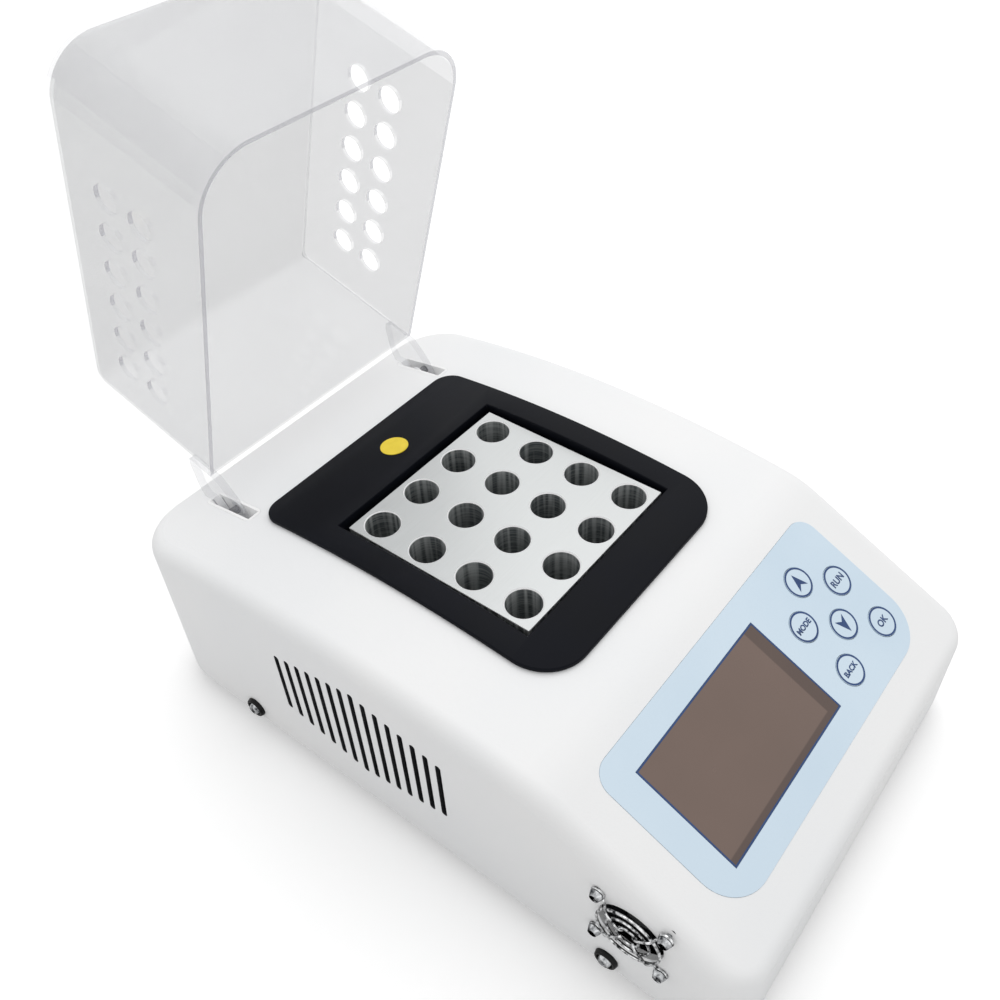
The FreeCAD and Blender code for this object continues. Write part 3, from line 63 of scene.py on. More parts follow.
# Top cover: one shell of folded steel with welded corners, pressed to a crowned deck
# and powder coated white with a fine orange-peel skin. Inside the thickness of the
# wall, in the patch of the vent slots, dark grey is painted as the slots' deep shade.
COAT_LIGHT = (246, 246, 246)
COAT_SHADE = (242, 243, 244)
SLOT_LIGHT = (54, 55, 58)
SLOT_SHADE = (40, 41, 44)
SLOT_LUMPS = 60
VENT_Y = (-0.054, 0.045)
VENT_Z = (0.030, 0.091)
VENT_DEEP = 0.10988
TONE_STOPS = (0.35, 0.65)
GLOSS_STOPS = (0.3, 0.7)
GRAIN_STRENGTH = 0.35


def paint(red, green, blue):
    """A screen colour from 0 to 255 as the linear colour that a shader takes."""
    shares = [part / 255 for part in (red, green, blue)]
    return [s / 12.92 if s <= 0.04045 else ((s + 0.055) / 1.055) ** 2.4 for s in shares] + [1.0]


def paints(first, second):
    """Two screen colours for the ends of a ramp."""
    return paint(*first), paint(*second)


def grey(level):
    """A plain level as a colour."""
    return (level, level, level, 1.0)


def greys(first, second):
    """Two plain levels for the ends of a ramp."""
    return grey(first), grey(second)


def new_finish(name):
    """An empty finish, with its node tree and its shader."""
    finish = bpy.data.materials.new(name)
    finish.use_nodes = True
    tree = finish.node_tree
    return finish, tree, tree.nodes["Principled BSDF"]


def feed(tree, source, socket):
    """Give a socket its source: the output of another node, or a plain value."""
    if isinstance(source, bpy.types.NodeSocket):
        tree.links.new(source, socket)
    else:
        socket.default_value = source


def object_place(tree, stretch=(1, 1, 1)):
    """Object coordinates, stretched for a pattern."""
    source = tree.nodes.new("ShaderNodeTexCoord")
    mapping = tree.nodes.new("ShaderNodeMapping")
    mapping.inputs["Scale"].default_value = stretch
    feed(tree, source.outputs["Object"], mapping.inputs["Vector"])
    return mapping.outputs["Vector"]


def parts_of(tree, place):
    """The three parts of a place."""
    node = tree.nodes.new("ShaderNodeSeparateXYZ")
    feed(tree, place, node.inputs["Vector"])
    return node.outputs["X"], node.outputs["Y"], node.outputs["Z"]


def cloud(tree, place, lumps, detail=3.0):
    """A soft noise of the given number of lumps a metre."""
    noise = tree.nodes.new("ShaderNodeTexNoise")
    noise.inputs["Scale"].default_value = lumps
    noise.inputs["Detail"].default_value = detail
    feed(tree, place, noise.inputs["Vector"])
    return noise.outputs["Fac"]


def ramp(tree, value, stops, ends):
    """A colour that runs from one end to the other between two stops of a value."""
    node = tree.nodes.new("ShaderNodeValToRGB")
    for element, position, colour in zip(node.color_ramp.elements, stops, ends):
        element.position = position
        element.color = colour
    feed(tree, value, node.inputs["Fac"])
    return node.outputs["Color"]


def blend(tree, factor, first, second):
    """One colour where the factor is zero, the other where it is one."""
    node = tree.nodes.new("ShaderNodeMix")
    node.data_type = "RGBA"
    feed(tree, factor, node.inputs["Factor"])
    feed(tree, first, node.inputs["A"])
    feed(tree, second, node.inputs["B"])
    return node.outputs["Result"]


def work_out(tree, operation, *values):
    """The result of one operation on some values."""
    node = tree.nodes.new("ShaderNodeMath")
    node.operation = operation
    for value, socket in zip(values, node.inputs):
        feed(tree, value, socket)
    return node.outputs["Value"]


def within(tree, value, low, high):
    """One where a value lies between two limits, zero elsewhere."""
    return work_out(tree, "COMPARE", value, (low + high) / 2, (high - low) / 2)


def skin(tree, shader, value, strength, depth):
    """Raise the surface by a noise."""
    bump = tree.nodes.new("ShaderNodeBump")
    bump.inputs["Strength"].default_value = strength
    bump.inputs["Distance"].default_value = depth
    feed(tree, value, bump.inputs["Height"])
    feed(tree, bump.outputs["Normal"], shader.inputs["Normal"])


def toned(tree, shader, value, shade, light, rough):
    """Let a noise drive the colour and the gloss of a shader."""
    feed(tree, ramp(tree, value, TONE_STOPS, paints(shade, light)), shader.inputs["Base Color"])
    feed(tree, ramp(tree, value, GLOSS_STOPS, greys(*rough)), shader.inputs["Roughness"])


def grained(name, shade, light, lumps, grain, depth, rough, metal=0.0, shine=0.5):
    """A solid finish: cloudy colour, a fine grain in relief and uneven gloss."""
    finish, tree, shader = new_finish(name)
    place = object_place(tree)
    toned(tree, shader, cloud(tree, place, lumps), shade, light, rough)
    skin(tree, shader, cloud(tree, place, grain, detail=2.0), GRAIN_STRENGTH, depth)
    shader.inputs["Metallic"].default_value = metal
    shader.inputs["Specular IOR Level"].default_value = shine
    return finish


def dress(node, finish):
    """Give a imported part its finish."""
    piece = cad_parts[node]
    if not piece.material_slots:
        piece.data.materials.append(finish)
    for slot in piece.material_slots:
        slot.link = "OBJECT"
        slot.material = finish


white_coat = grained("white_coat", COAT_SHADE, COAT_LIGHT,
                     lumps=9, grain=900, depth=0.00012, rough=(0.42, 0.5))
tree = white_coat.node_tree
tone = tree.nodes["Principled BSDF"].inputs["Base Color"]
coat_tone = tone.links[0].from_socket
place = object_place(tree)
x, y, z = parts_of(tree, place)
# Painted shade: the cut walls of the vent slots take a dark grey instead of the white coat.
patch = work_out(tree, "MULTIPLY", within(tree, y, *VENT_Y), within(tree, z, *VENT_Z))
slot_shade_mask = work_out(tree, "MULTIPLY", within(tree, x, -VENT_DEEP, VENT_DEEP), patch)
painted_slot_shade = ramp(tree, cloud(tree, place, SLOT_LUMPS), TONE_STOPS, paints(SLOT_SHADE, SLOT_LIGHT))
feed(tree, blend(tree, slot_shade_mask, coat_tone, painted_slot_shade), tone)
dress("top_cover", white_coat)


# Base tray: folded steel floor whose flange stands inside the cover, coated grey as
# painted shade, so that its edge shows as a fine dark shadow line under the white.
tray_shade_coat = grained("tray_shade_coat", (96, 98, 101), (110, 112, 115),
                    lumps=12, grain=700, depth=0.0001, rough=(0.45, 0.55))
dress("base_tray", tray_shade_coat)


# Feet: four moulded rubber buttons, pushed through holes of the tray. They carry the
# whole weight and keep the case from sliding.
foot_rubber = grained("foot_rubber", (26, 26, 27), (38, 38, 40),
                      lumps=90, grain=1500, depth=0.0002, rough=(0.75, 0.9))
dress("rubber_feet", foot_rubber)


# Hood of the lid: clear acrylic sheet. The wall is one strip bent round the two
# front corners, with two rows of drilled vent holes in each side; the top and the
# back are a second sheet with one bend, glued between the ends of the wall.
HOOD_WIDTH = 0.141
HOOD_LENGTH = 0.176
HOOD_DEPTH = 0.080
HOOD_SHEET = 0.0022
HOOD_CORNER = 0.0243
HOOD_CORNER_STEPS = 14
HOOD_BEND = 0.006
HOOD_BEND_STEPS = 8
HOOD_SOFT = 0.00025
GLUE = 0.00003
HOOD_TURN = math.radians(-72.53)
HOOD_PLACE = Vector((0, 0.118295, 0.1172))
HOLE_RADIUS = 0.00625
HOLE_STEPS = 40
HOLE_FIRST = 0.1267
HOLE_PITCH = 0.01918
HOLE_COUNT = 6
HOLE_ROWS = (0.0520, 0.0331)
HOLES_END = 0.8 * HOOD_LENGTH
DRILL_LENGTH = HOOD_WIDTH * 1.2
CORE_START, CORE_END = HOOD_SHEET * 0.1, HOOD_SHEET * 0.9
SIDE_DEPTH = HOOD_SHEET * 1.1
FACING = 0.9
ASIDE = 0.5
NEARBY = 0.001
SOFT_ANGLE = 35
VEIL_LUMPS = 9
WAVE_LUMPS = 35
WAVE_STRENGTH = 0.05
WAVE_DEPTH = 0.0002
SHEET_GLOSS = (0.05, 0.09)


def activate(*pieces):
    """Select some pieces only, and make the first of them the active one."""
    bpy.ops.object.select_all(action="DESELECT")
    for piece in pieces:
        piece.select_set(True)
    bpy.context.view_layer.objects.active = pieces[0]


def join(pieces):
    """Join some pieces into the first of them."""
    activate(*pieces)
    bpy.ops.object.join()
    return bpy.context.object


def settle(piece):
    """Apply the modifiers and the place, so that the piece sits at the origin."""
    activate(piece)
    for modifier in list(piece.modifiers):
        bpy.ops.object.modifier_apply(modifier=modifier.name)
    bpy.ops.object.transform_apply(location=True, rotation=True, scale=True)


def named(name):
    """Name the piece that an operator has just added."""
    piece = bpy.context.object
    piece.name = piece.data.name = name
    return piece


def block(name, low, high):
    """A plain block between two corners, with its place in its mesh."""
    bpy.ops.object.select_all(action="DESELECT")
    middle = [(a + b) / 2 for a, b in zip(low, high)]
    bpy.ops.mesh.primitive_cube_add(size=1, location=middle)
    bpy.context.object.scale = [b - a for a, b in zip(low, high)]
    piece = named(name)
    settle(piece)
    return piece


def edit(piece):
    """Open the mesh of a piece for edits."""
    activate(piece)
    bpy.ops.object.mode_set(mode="EDIT")


def close():
    """Close the mesh that was open for edits."""
    bpy.ops.object.mode_set(mode="OBJECT")


def pick(piece, kind, test):
    """Select the faces, edges or points of the mesh in edit mode that pass a test."""
    bpy.ops.mesh.select_mode(type=kind)
    bpy.ops.mesh.select_all(action="DESELECT")
    mesh = bmesh.from_edit_mesh(piece.data)
    items = {"FACE": mesh.faces, "EDGE": mesh.edges, "VERT": mesh.verts}[kind]
    for item in items:
        if test(item):
            item.select_set(True)
    mesh.select_flush_mode()
    bmesh.update_edit_mesh(piece.data)


def centre(edge):
    """The point half way along an edge."""
    return (edge.verts[0].co + edge.verts[1].co) / 2


def upright(edge):
    """Whether an edge of the hood's block runs along its depth."""
    return abs(edge.verts[0].co.z - edge.verts[1].co.z) > HOOD_DEPTH / 2


def thicken(piece, thickness, side=-1):
    """Give a surface its thickness, inwards, or to both sides where side is zero."""
    sheet = piece.modifiers.new("sheet", "SOLIDIFY")
    sheet.thickness = thickness
    sheet.offset = side
    settle(piece)


def cut_away(piece, tool):
    """Cut the shape of a tool out of a piece, and take the tool away."""
    cut = piece.modifiers.new("cut", "BOOLEAN")
    cut.object = tool
    cut.operation = "DIFFERENCE"
    cut.solver = "EXACT"
    settle(piece)
    bpy.data.objects.remove(tool)


def soften(piece, width, limit=SOFT_ANGLE, steps=2):
    """Break the sharp edges and shade the rest smooth."""
    bevel = piece.modifiers.new("edges", "BEVEL")
    bevel.width = width
    bevel.segments = steps
    bevel.limit_method = "ANGLE"
    bevel.angle_limit = math.radians(limit)
    bevel.harden_normals = False
    settle(piece)
    bpy.ops.object.shade_smooth_by_angle(angle=math.radians(limit))


def coat(piece, *finishes):
    """Give a piece these finishes and no others."""
    piece.data.materials.clear()
    for finish in finishes:
        piece.data.materials.append(finish)


def clear_sheet(name, shade, light, rough, body):
    """Clear acrylic: most of what is behind it shows, under a thin grey veil and gloss."""
    finish, tree, shader = new_finish(name)
    place = object_place(tree)
    toned(tree, shader, cloud(tree, place, VEIL_LUMPS), shade, light, rough)
    skin(tree, shader, cloud(tree, place, WAVE_LUMPS, detail=1.0), WAVE_STRENGTH, WAVE_DEPTH)
    shader.inputs["Alpha"].default_value = body
    return finish


# One acrylic in lit and shaded copies: the near wall is painted lighter as painted light, and the
# far wall and the back sheet are painted darker as painted shade.
HOOD_FINISHES = (
    clear_sheet("hood_clear", (216, 217, 221), (230, 231, 234), rough=SHEET_GLOSS, body=0.2),
    clear_sheet("hood_far_painted_shade", (166, 167, 171), (180, 181, 185), rough=SHEET_GLOSS, body=0.27),
    clear_sheet("hood_back_painted_shade", (166, 167, 170), (180, 181, 184), rough=SHEET_GLOSS, body=0.31),
    clear_sheet("hood_near_painted_light", (238, 239, 241), (248, 249, 250), rough=SHEET_GLOSS, body=0.13),
    clear_sheet("hood_edge", (158, 158, 170), (178, 178, 190), rough=(0.25, 0.35), body=0.42),
    clear_sheet("hood_bore", (206, 206, 212), (222, 222, 227), rough=(0.1, 0.2), body=0.22),
    clear_sheet("hood_seam", (222, 223, 227), (236, 237, 240), rough=(0.1, 0.2), body=0.1),
)
CLEAR, FAR, BACK, NEAR, EDGE, BORE, SEAM = range(len(HOOD_FINISHES))


def finish_sheet(piece, kind):
    """Give each face of a sheet its finish, soften it and open the lid to its place.

    The sheet is so clear that it throws no shadow worth seeing.
    """
    coat(piece, *HOOD_FINISHES)
    for face in piece.data.polygons:
        face.material_index = kind(face)
    soften(piece, HOOD_SOFT)
    piece.rotation_euler = (HOOD_TURN, 0, 0)
    piece.location = HOOD_PLACE
    settle(piece)
    piece.visible_shadow = False
    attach(piece, "lid")


half = HOOD_WIDTH / 2
hood_wall = block("hood_wall", (-half, -HOOD_LENGTH, 0), (half, 0, HOOD_DEPTH))
edit(hood_wall)
pick(hood_wall, "FACE", lambda f: abs(f.normal.z) > FACING or f.normal.y > FACING)
bpy.ops.mesh.delete(type="FACE")
pick(hood_wall, "EDGE", lambda e: upright(e) and centre(e).y < -HOOD_LENGTH / 2)
bpy.ops.mesh.bevel(offset=HOOD_CORNER, segments=HOOD_CORNER_STEPS, affect="EDGES")
close()
thicken(hood_wall, HOOD_SHEET)
drills = []
for number in range(HOLE_COUNT):
    for rise in HOLE_ROWS:
        along = HOLE_FIRST - HOLE_PITCH * number
        bpy.ops.object.select_all(action="DESELECT")
        bpy.ops.mesh.primitive_cylinder_add(
            vertices=HOLE_STEPS, radius=HOLE_RADIUS, depth=DRILL_LENGTH,
            location=(0, -along, rise), rotation=(0, math.pi / 2, 0))
        drills.append(named("drill"))
cut_away(hood_wall, join(drills))


def wall_kind(face):
    """The opening rim, the walls of the holes, the glued ends, the near wall in painted light, the
    far wall in painted shade, and the sheet itself.
    """
    x, y, z = face.center
    if face.normal.z < -FACING:
        return EDGE
    if face.normal.z > FACING or face.normal.y > FACING:
        return SEAM
    in_core = half - CORE_END < abs(x) < half - CORE_START
    if in_core and y > -HOLES_END and abs(face.normal.x) < ASIDE:
        return BORE
    if abs(x) > half - SIDE_DEPTH:
        return NEAR if x < 0 else FAR
    return CLEAR


finish_sheet(hood_wall, wall_kind)


def top_kind(face):
    """The glued ends of the second sheet, and the sheet itself in painted shade."""
    lower_end = face.normal.z < -FACING and face.center.z < NEARBY
    return SEAM if abs(face.normal.x) > FACING or lower_end else BACK


inner = half - HOOD_SHEET - GLUE
hood_top = block("hood_top", (-inner, HOOD_SHEET - HOOD_LENGTH, 0), (inner, 0, HOOD_DEPTH))
edit(hood_top)
pick(hood_top, "FACE", lambda f: f.normal.z < -FACING or f.normal.y < -FACING
     or abs(f.normal.x) > FACING)
bpy.ops.mesh.delete(type="FACE")
pick(hood_top, "EDGE", lambda e: centre(e).y > -NEARBY and centre(e).z > HOOD_DEPTH - NEARBY)
bpy.ops.mesh.bevel(offset=HOOD_BEND, segments=HOOD_BEND_STEPS, affect="EDGES")
pick(hood_top, "VERT", lambda v: v.co.y < -HOOD_LENGTH / 2)
bpy.ops.mesh.bevel(offset=HOOD_CORNER - HOOD_SHEET, segments=HOOD_CORNER_STEPS,
                   affect="VERTICES")
close()
thicken(hood_top, HOOD_SHEET)
finish_sheet(hood_top, top_kind)
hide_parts("lid_wall")
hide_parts("lid_top")


# Tongues of the lid: two thick clear plates glued into the rear corners of the hood,
# that reach down through the deck to the hinge pins. Their edges are polished, and
# one face of each has two fine saw marks.
TONGUE_SOFT = 0.0003
SLIT_WIDTH = 0.00035
SLIT_DEPTH = 0.0003
SLIT_SHARE = 0.6
TONGUE_SLITS = {
    "left": (-0.0705, (0.1114, 0.1023, 54.9, 0.0090), (0.1203, 0.0973, 48.4, 0.0070)),
    "right": (0.0663, (0.1034, 0.1112, 55.0, 0.0090), (0.1051, 0.1092, 52.0, 0.0075)),
}
SAME_POINT = 0.000002
SAME_PLANE = math.radians(0.5)


def softened(node, name, width, limit=SOFT_ANGLE, steps=2):
    """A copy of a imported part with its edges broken."""
    piece = bpy.data.objects.new(name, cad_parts[node].data.copy())
    bpy.context.scene.collection.objects.link(piece)
    piece.data.name = name
    edit(piece)
    bpy.ops.mesh.select_all(action="SELECT")
    bpy.ops.mesh.remove_doubles(threshold=SAME_POINT)
    bpy.ops.mesh.dissolve_limited(angle_limit=SAME_PLANE)
    close()
    soften(piece, width, limit, steps)
    piece.data.materials.clear()
    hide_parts(node)
    return piece


def slit_side(face, x, slit):
    """Whether a face belongs to one slit: close to its line and below the surface."""
    y, z, lean, length = slit
    turn = math.radians(lean)
    across = (face.center.z - z) * math.cos(turn) - (face.center.y - y) * math.sin(turn)
    along = (face.center.y - y) * math.cos(turn) + (face.center.z - z) * math.sin(turn)
    sunk = SLIT_DEPTH / 4 < face.center.x - x < SLIT_DEPTH * 2
    return sunk and abs(across) < SLIT_WIDTH and abs(along) < length * SLIT_SHARE


tongue_clear = clear_sheet("tongue_clear", (226, 227, 230), (238, 239, 241),
                           rough=SHEET_GLOSS, body=0.12)
tongue_edge = clear_sheet("tongue_edge", (184, 185, 192), (200, 201, 207),
                          rough=(0.2, 0.3), body=0.24)
# Painted shade: the walls of the saw marks are dark grey, for the shade in the grooves.
tongue_slit_shade = clear_sheet("tongue_slit_shade", (112, 112, 118), (130, 130, 136),
                          rough=(0.3, 0.4), body=0.8)

for side, (x, *slits) in TONGUE_SLITS.items():
    tongue = softened("lid_ear_" + side, "lid_tongue_" + side, TONGUE_SOFT)
    for y, z, lean, length in slits:
        saw = block("saw", (-SLIT_DEPTH, -length / 2, -SLIT_WIDTH / 2),
                    (SLIT_DEPTH, length / 2, SLIT_WIDTH / 2))
        saw.rotation_euler = (math.radians(lean), 0, 0)
        saw.location = (x, y, z)
        settle(saw)
        cut_away(tongue, saw)
    coat(tongue, tongue_clear, tongue_edge, tongue_slit_shade)
    for face in tongue.data.polygons:
        face.material_index = 0 if abs(face.normal.x) > FACING else 1
        if any(slit_side(face, x, slit) for slit in slits):
            face.material_index = 2
    tongue.visible_shadow = False
    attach(tongue, "lid")


# Hinge cups: white moulded pockets let into the deck, one under each tongue. The
# pins and their spacers lie across them; the pins are blackened steel.
cup_white = grained("cup_white", (250, 250, 250), (254, 254, 254),
                    lumps=20, grain=900, depth=0.00005, rough=(0.3, 0.4))
dress("hinge_cup_left", cup_white)
dress("hinge_cup_right", cup_white)
pin_black = grained("pin_black", (22, 22, 24), (34, 34, 37),
                    lumps=60, grain=900, depth=0.00005, rough=(0.3, 0.42), metal=0.6)
dress("hinge_pins", pin_black)
spacer_plastic = grained("spacer_plastic", (225, 226, 228), (236, 237, 238),
                         lumps=60, grain=900, depth=0.00005, rough=(0.35, 0.45))
dress("pin_spacers", spacer_plastic)


# Heating block: milled aluminium with sixteen bored wells. The face is bright and
# lightly brushed. The chamfers of the wells are painted near white as a painted glint,
# and the bores are painted darker than the face as painted shade, with light vertical
# streaks as painted highlight and fine machined rings.
BLOCK_FACE = 0.1088
WELL_CHAMFER = 0.0005
HAIR = 0.00003
FACE_TONES = ((171, 173, 173), (177, 179, 179))
RIM_GLINT_TONES = ((246, 246, 246), (254, 254, 254))
BORE_STREAK_TONES = ((88, 93, 96), (226, 229, 228))
RING_TONES = ((104, 109, 112), (182, 186, 186))
LINE_STOPS = (0.42, 0.64)
RING_STOPS = (0.4, 0.6)
MIX_STOPS = (0.2, 0.8)
RING_SHARE = (0.3, 0.5)
FACE_GLOSS = (0.38, 0.46)
BORE_GLOSS = (0.3, 0.42)
BORE_METAL = (0.3, 0.5)
BRUSH_STRENGTH = 0.08
BRUSH_DEPTH = 0.00004

block_metal, tree, shader = new_finish("block_metal")
streaks = cloud(tree, object_place(tree, stretch=(0.2, 6, 1)), lumps=260)
lines = cloud(tree, object_place(tree, stretch=(1, 1, 0.03)), lumps=420, detail=1.0)
rings = cloud(tree, object_place(tree, stretch=(0.04, 0.04, 1)), lumps=1400, detail=1.0)
height = parts_of(tree, object_place(tree))[2]
bore = within(tree, height, 0, BLOCK_FACE - WELL_CHAMFER)
rim = within(tree, height, BLOCK_FACE - WELL_CHAMFER, BLOCK_FACE - HAIR)

face_tone = ramp(tree, streaks, GLOSS_STOPS, paints(*FACE_TONES))
# Painted glint: the chamfer band is near white and not metal, for the light caught on the
# chamfers.
painted_rim_glint = ramp(tree, streaks, GLOSS_STOPS, paints(*RIM_GLINT_TONES))
painted_bore_streaks = ramp(tree, lines, LINE_STOPS, paints(*BORE_STREAK_TONES))
ring_tone = ramp(tree, rings, RING_STOPS, paints(*RING_TONES))
# Painted shade and highlight: the bores darker than the face, in light and dark vertical streaks
# over fine rings.
painted_bore_shade = blend(tree, ramp(tree, rings, MIX_STOPS, greys(*RING_SHARE)), painted_bore_streaks, ring_tone)
block_tone = blend(tree, bore, face_tone, painted_bore_shade)
feed(tree, blend(tree, rim, block_tone, painted_rim_glint), shader.inputs["Base Color"])

face_gloss = ramp(tree, streaks, GLOSS_STOPS, greys(*FACE_GLOSS))
bore_gloss = ramp(tree, lines, GLOSS_STOPS, greys(*BORE_GLOSS))
feed(tree, blend(tree, bore, face_gloss, bore_gloss), shader.inputs["Roughness"])

bore_metal = ramp(tree, lines, GLOSS_STOPS, greys(*BORE_METAL))
metal = blend(tree, bore, grey(1.0), bore_metal)
feed(tree, blend(tree, rim, metal, grey(0.0)), shader.inputs["Metallic"])
skin(tree, shader, streaks, BRUSH_STRENGTH, BRUSH_DEPTH)
dress("heating_block", block_metal)


# Heaters and probe: steel cartridges pushed into bores of the block. The block lies in
# a jacket of pressed grey fibre that stands on four steel legs.
heater_steel = grained("heater_steel", (150, 152, 155), (185, 187, 190),
                       lumps=40, grain=600, depth=0.00005, rough=(0.28, 0.4), metal=1.0)
for node in ("heater_cartridges", "temperature_probe", "block_legs"):
    dress(node, heater_steel)
# Grey fibre, painted darker as painted shade, so that the inside seen through the vents stays
# dark.
jacket_fibre_shade = grained("jacket_fibre_shade", (70, 70, 72), (92, 92, 94),
                       lumps=60, grain=420, depth=0.0006, rough=(0.85, 0.95))
dress("insulation_jacket", jacket_fibre_shade)


# Bezel: moulded black plastic frame round the block, bent to the deck, with softly
# broken edges and a fine spark-eroded skin.
bezel_black = grained("bezel_black", (10, 12, 18), (14, 16, 23),
                      lumps=30, grain=1600, depth=0.00006, rough=(0.42, 0.52), shine=0.08)
bezel = softened("bezel_frame", "bezel", width=0.0007, limit=40, steps=3)
coat(bezel, bezel_black)
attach(bezel, "base")


# Marker: a plain yellow disc of printed film, cut with a punch and stuck to the rear
# band of the bezel.
marker_film = grained("marker_film", (233, 205, 40), (243, 216, 52),
                      lumps=120, grain=2000, depth=0.00002, rough=(0.35, 0.45))
dress("marker_dot", marker_film)


# Fan: black moulded frame and rotor behind the port, held by four cross-head screws
# through the cover on small spacers.
fan_black = grained("fan_black", (20, 21, 23), (32, 33, 36),
                    lumps=70, grain=1300, depth=0.00006, rough=(0.4, 0.52))
for node in ("fan_frame", "fan_rotor", "fan_spacers"):
    dress(node, fan_black)


# Finger guard: three rings of chromed wire welded on four bent arms, each arm ending
# in an eye under its screw. The arms run in front of the rings.
FAN_CENTRE = Vector((-0.110, -0.145305, 0.0530))
WIRE = 0.00062
WIRE_STEPS = 12
WIRE_ROUND = 4
RING_RADII = (0.0050, 0.0096, 0.0142)
RING_STEPS = 64
RING_LIFT = 0.00215
ARM_LIFT = 0.00062
ARM_FRONT = 0.00335
ARM_STATIONS = ((0.0036, RING_LIFT), (0.0048, ARM_FRONT), (0.0096, ARM_FRONT),
                (0.0142, ARM_FRONT), (0.0160, ARM_LIFT), (0.0186, ARM_LIFT))
ARM_STEPS = 10
ARM_ORDER = 3
EYE_REACH = 0.0150
EYE_RADIUS = 0.0026
EYE_STEPS = 32
DIAGONAL = math.sqrt(0.5)


def side_place(lift, across, up):
    """A point in front of the left side, by its lift off the wall."""
    return FAN_CENTRE + Vector((-lift, across, up))


def wire_ring(place, radius, steps):
    """A closed ring of wire that lies along the wall."""
    bpy.ops.object.select_all(action="DESELECT")
    bpy.ops.mesh.primitive_torus_add(
        major_radius=radius, minor_radius=WIRE, major_segments=steps,
        minor_segments=WIRE_STEPS, location=place, rotation=(0, math.pi / 2, 0))
    return bpy.context.object


def wire(name, points, radius):
    """A round wire through the points."""
    line = bpy.data.curves.new(name, "CURVE")
    line.dimensions = "3D"
    line.bevel_depth = radius
    line.bevel_resolution = WIRE_ROUND
    line.resolution_u = ARM_STEPS
    line.use_fill_caps = True
    run = line.splines.new("NURBS")
    run.points.add(len(points) - 1)
    for point, place in zip(run.points, points):
        point.co = (*place, 1.0)
    run.order_u = ARM_ORDER
    run.use_endpoint_u = True
    piece = bpy.data.objects.new(name, line)
    bpy.context.scene.collection.objects.link(piece)
    activate(piece)
    bpy.ops.object.convert(target="MESH")
    return bpy.context.object


# Painted reflection: fine blotches from near black to white stand in for what the chrome mirrors.
chrome_wire = grained("chrome_wire", (38, 39, 42), (250, 251, 252),
                      lumps=520, grain=500, depth=0.00002, rough=(0.06, 0.14), metal=1.0)
guard_wires = [wire_ring(side_place(RING_LIFT, 0, 0), radius, RING_STEPS)
               for radius in RING_RADII]
for across, up in ((-1, -1), (-1, 1), (1, 1), (1, -1)):
    eye = side_place(ARM_LIFT, across * EYE_REACH, up * EYE_REACH)
    guard_wires.append(wire_ring(eye, EYE_RADIUS, EYE_STEPS))
    points = [side_place(lift, across * DIAGONAL * reach, up * DIAGONAL * reach)
              for reach, lift in ARM_STATIONS]
    guard_wires.append(wire("arm", points, WIRE))
join(guard_wires)
guard = named("wire_guard")
settle(guard)
bpy.ops.object.shade_smooth()
coat(guard, chrome_wire)
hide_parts("finger_guard")
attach(guard, "base")


# Screws: plated pan-head screws with a cross recess. The side ones stand in black
# moulded cup washers.
SCREW_ANGLE = 30

# Painted reflection: blotches from dark to light stand in for what the plating mirrors.
plate_painted_reflection = grained("plate_painted_reflection", (52, 54, 58), (226, 228, 230),
                      lumps=420, grain=700, depth=0.00003, rough=(0.14, 0.26), metal=1.0)
fan_screws = softened("fan_screws", "guard_screws", width=0.00018, limit=SCREW_ANGLE)
coat(fan_screws, plate_painted_reflection)
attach(fan_screws, "base")
side_screws = softened("cover_screws", "side_screws", width=0.0002, limit=SCREW_ANGLE)
coat(side_screws, plate_painted_reflection)
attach(side_screws, "base")
cup_black = grained("cup_black", (7, 7, 8), (12, 12, 13),
                    lumps=90, grain=1200, depth=0.00004, rough=(0.3, 0.4), shine=0.2)
cups = softened("cup_washers", "washers", width=0.00045, limit=SCREW_ANGLE, steps=3)
coat(cups, cup_black)
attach(cups, "base")


# Control film: pale blue polyester film with a fine matt skin, stuck in a shallow
# recess of the slope. The keys are domes of the same film.
film_blue = grained("film_blue", (209, 227, 241), (214, 231, 244),
                    lumps=16, grain=2600, depth=0.00003, rough=(0.32, 0.42))
dress("membrane_panel", film_blue)


# Screen: smoked window over a liquid crystal display that is switched off. The
# display lies lower than the window; the shade of the window's edges on it is painted as a darker
# band along two of its edges.
SLOPE_EDGE = (0, -0.084305, 0.1099)
SLOPE_LEAN = math.radians(25.94)
SLOPE_PLACE = Matrix.Translation(SLOPE_EDGE) @ Matrix.Rotation(SLOPE_LEAN, 4, "X")
WINDOW_LEFT, WINDOW_RIGHT = -0.0722, 0.0194
WINDOW_TOP, WINDOW_BOTTOM = 0.0405, 0.0924
SIDE_BAND = 0.0068
LOW_BAND = 0.0032
BAND_SOFT = 0.0006
SMOKE_TONES = ((112, 94, 85), (118, 99, 90))
BAND_SHADE_TONES = ((88, 72, 66), (93, 77, 70))
SMOKE_GLOSS = (0.22, 0.3)
MATT_LUMPS = 2200
MATT_STRENGTH = 0.05
MATT_DEPTH = 0.00002


def climb(tree, value, start, end, low=0.0, high=1.0):
    """A number that goes from low to high while a value goes from start to end."""
    node = tree.nodes.new("ShaderNodeMapRange")
    node.inputs["From Min"].default_value = start
    node.inputs["From Max"].default_value = end
    node.inputs["To Min"].default_value = low
    node.inputs["To Max"].default_value = high
    feed(tree, value, node.inputs["Value"])
    return node.outputs["Result"]


screen_smoke, tree, shader = new_finish("screen_smoke")
source = tree.nodes.new("ShaderNodeTexCoord")
laid = tree.nodes.new("ShaderNodeMapping")
laid.vector_type = "TEXTURE"
laid.inputs["Rotation"].default_value = SLOPE_PLACE.to_euler()
laid.inputs["Location"].default_value = SLOPE_PLACE.to_translation()
feed(tree, source.outputs["Object"], laid.inputs["Vector"])
flat = laid.outputs["Vector"]
x, y, z = parts_of(tree, flat)
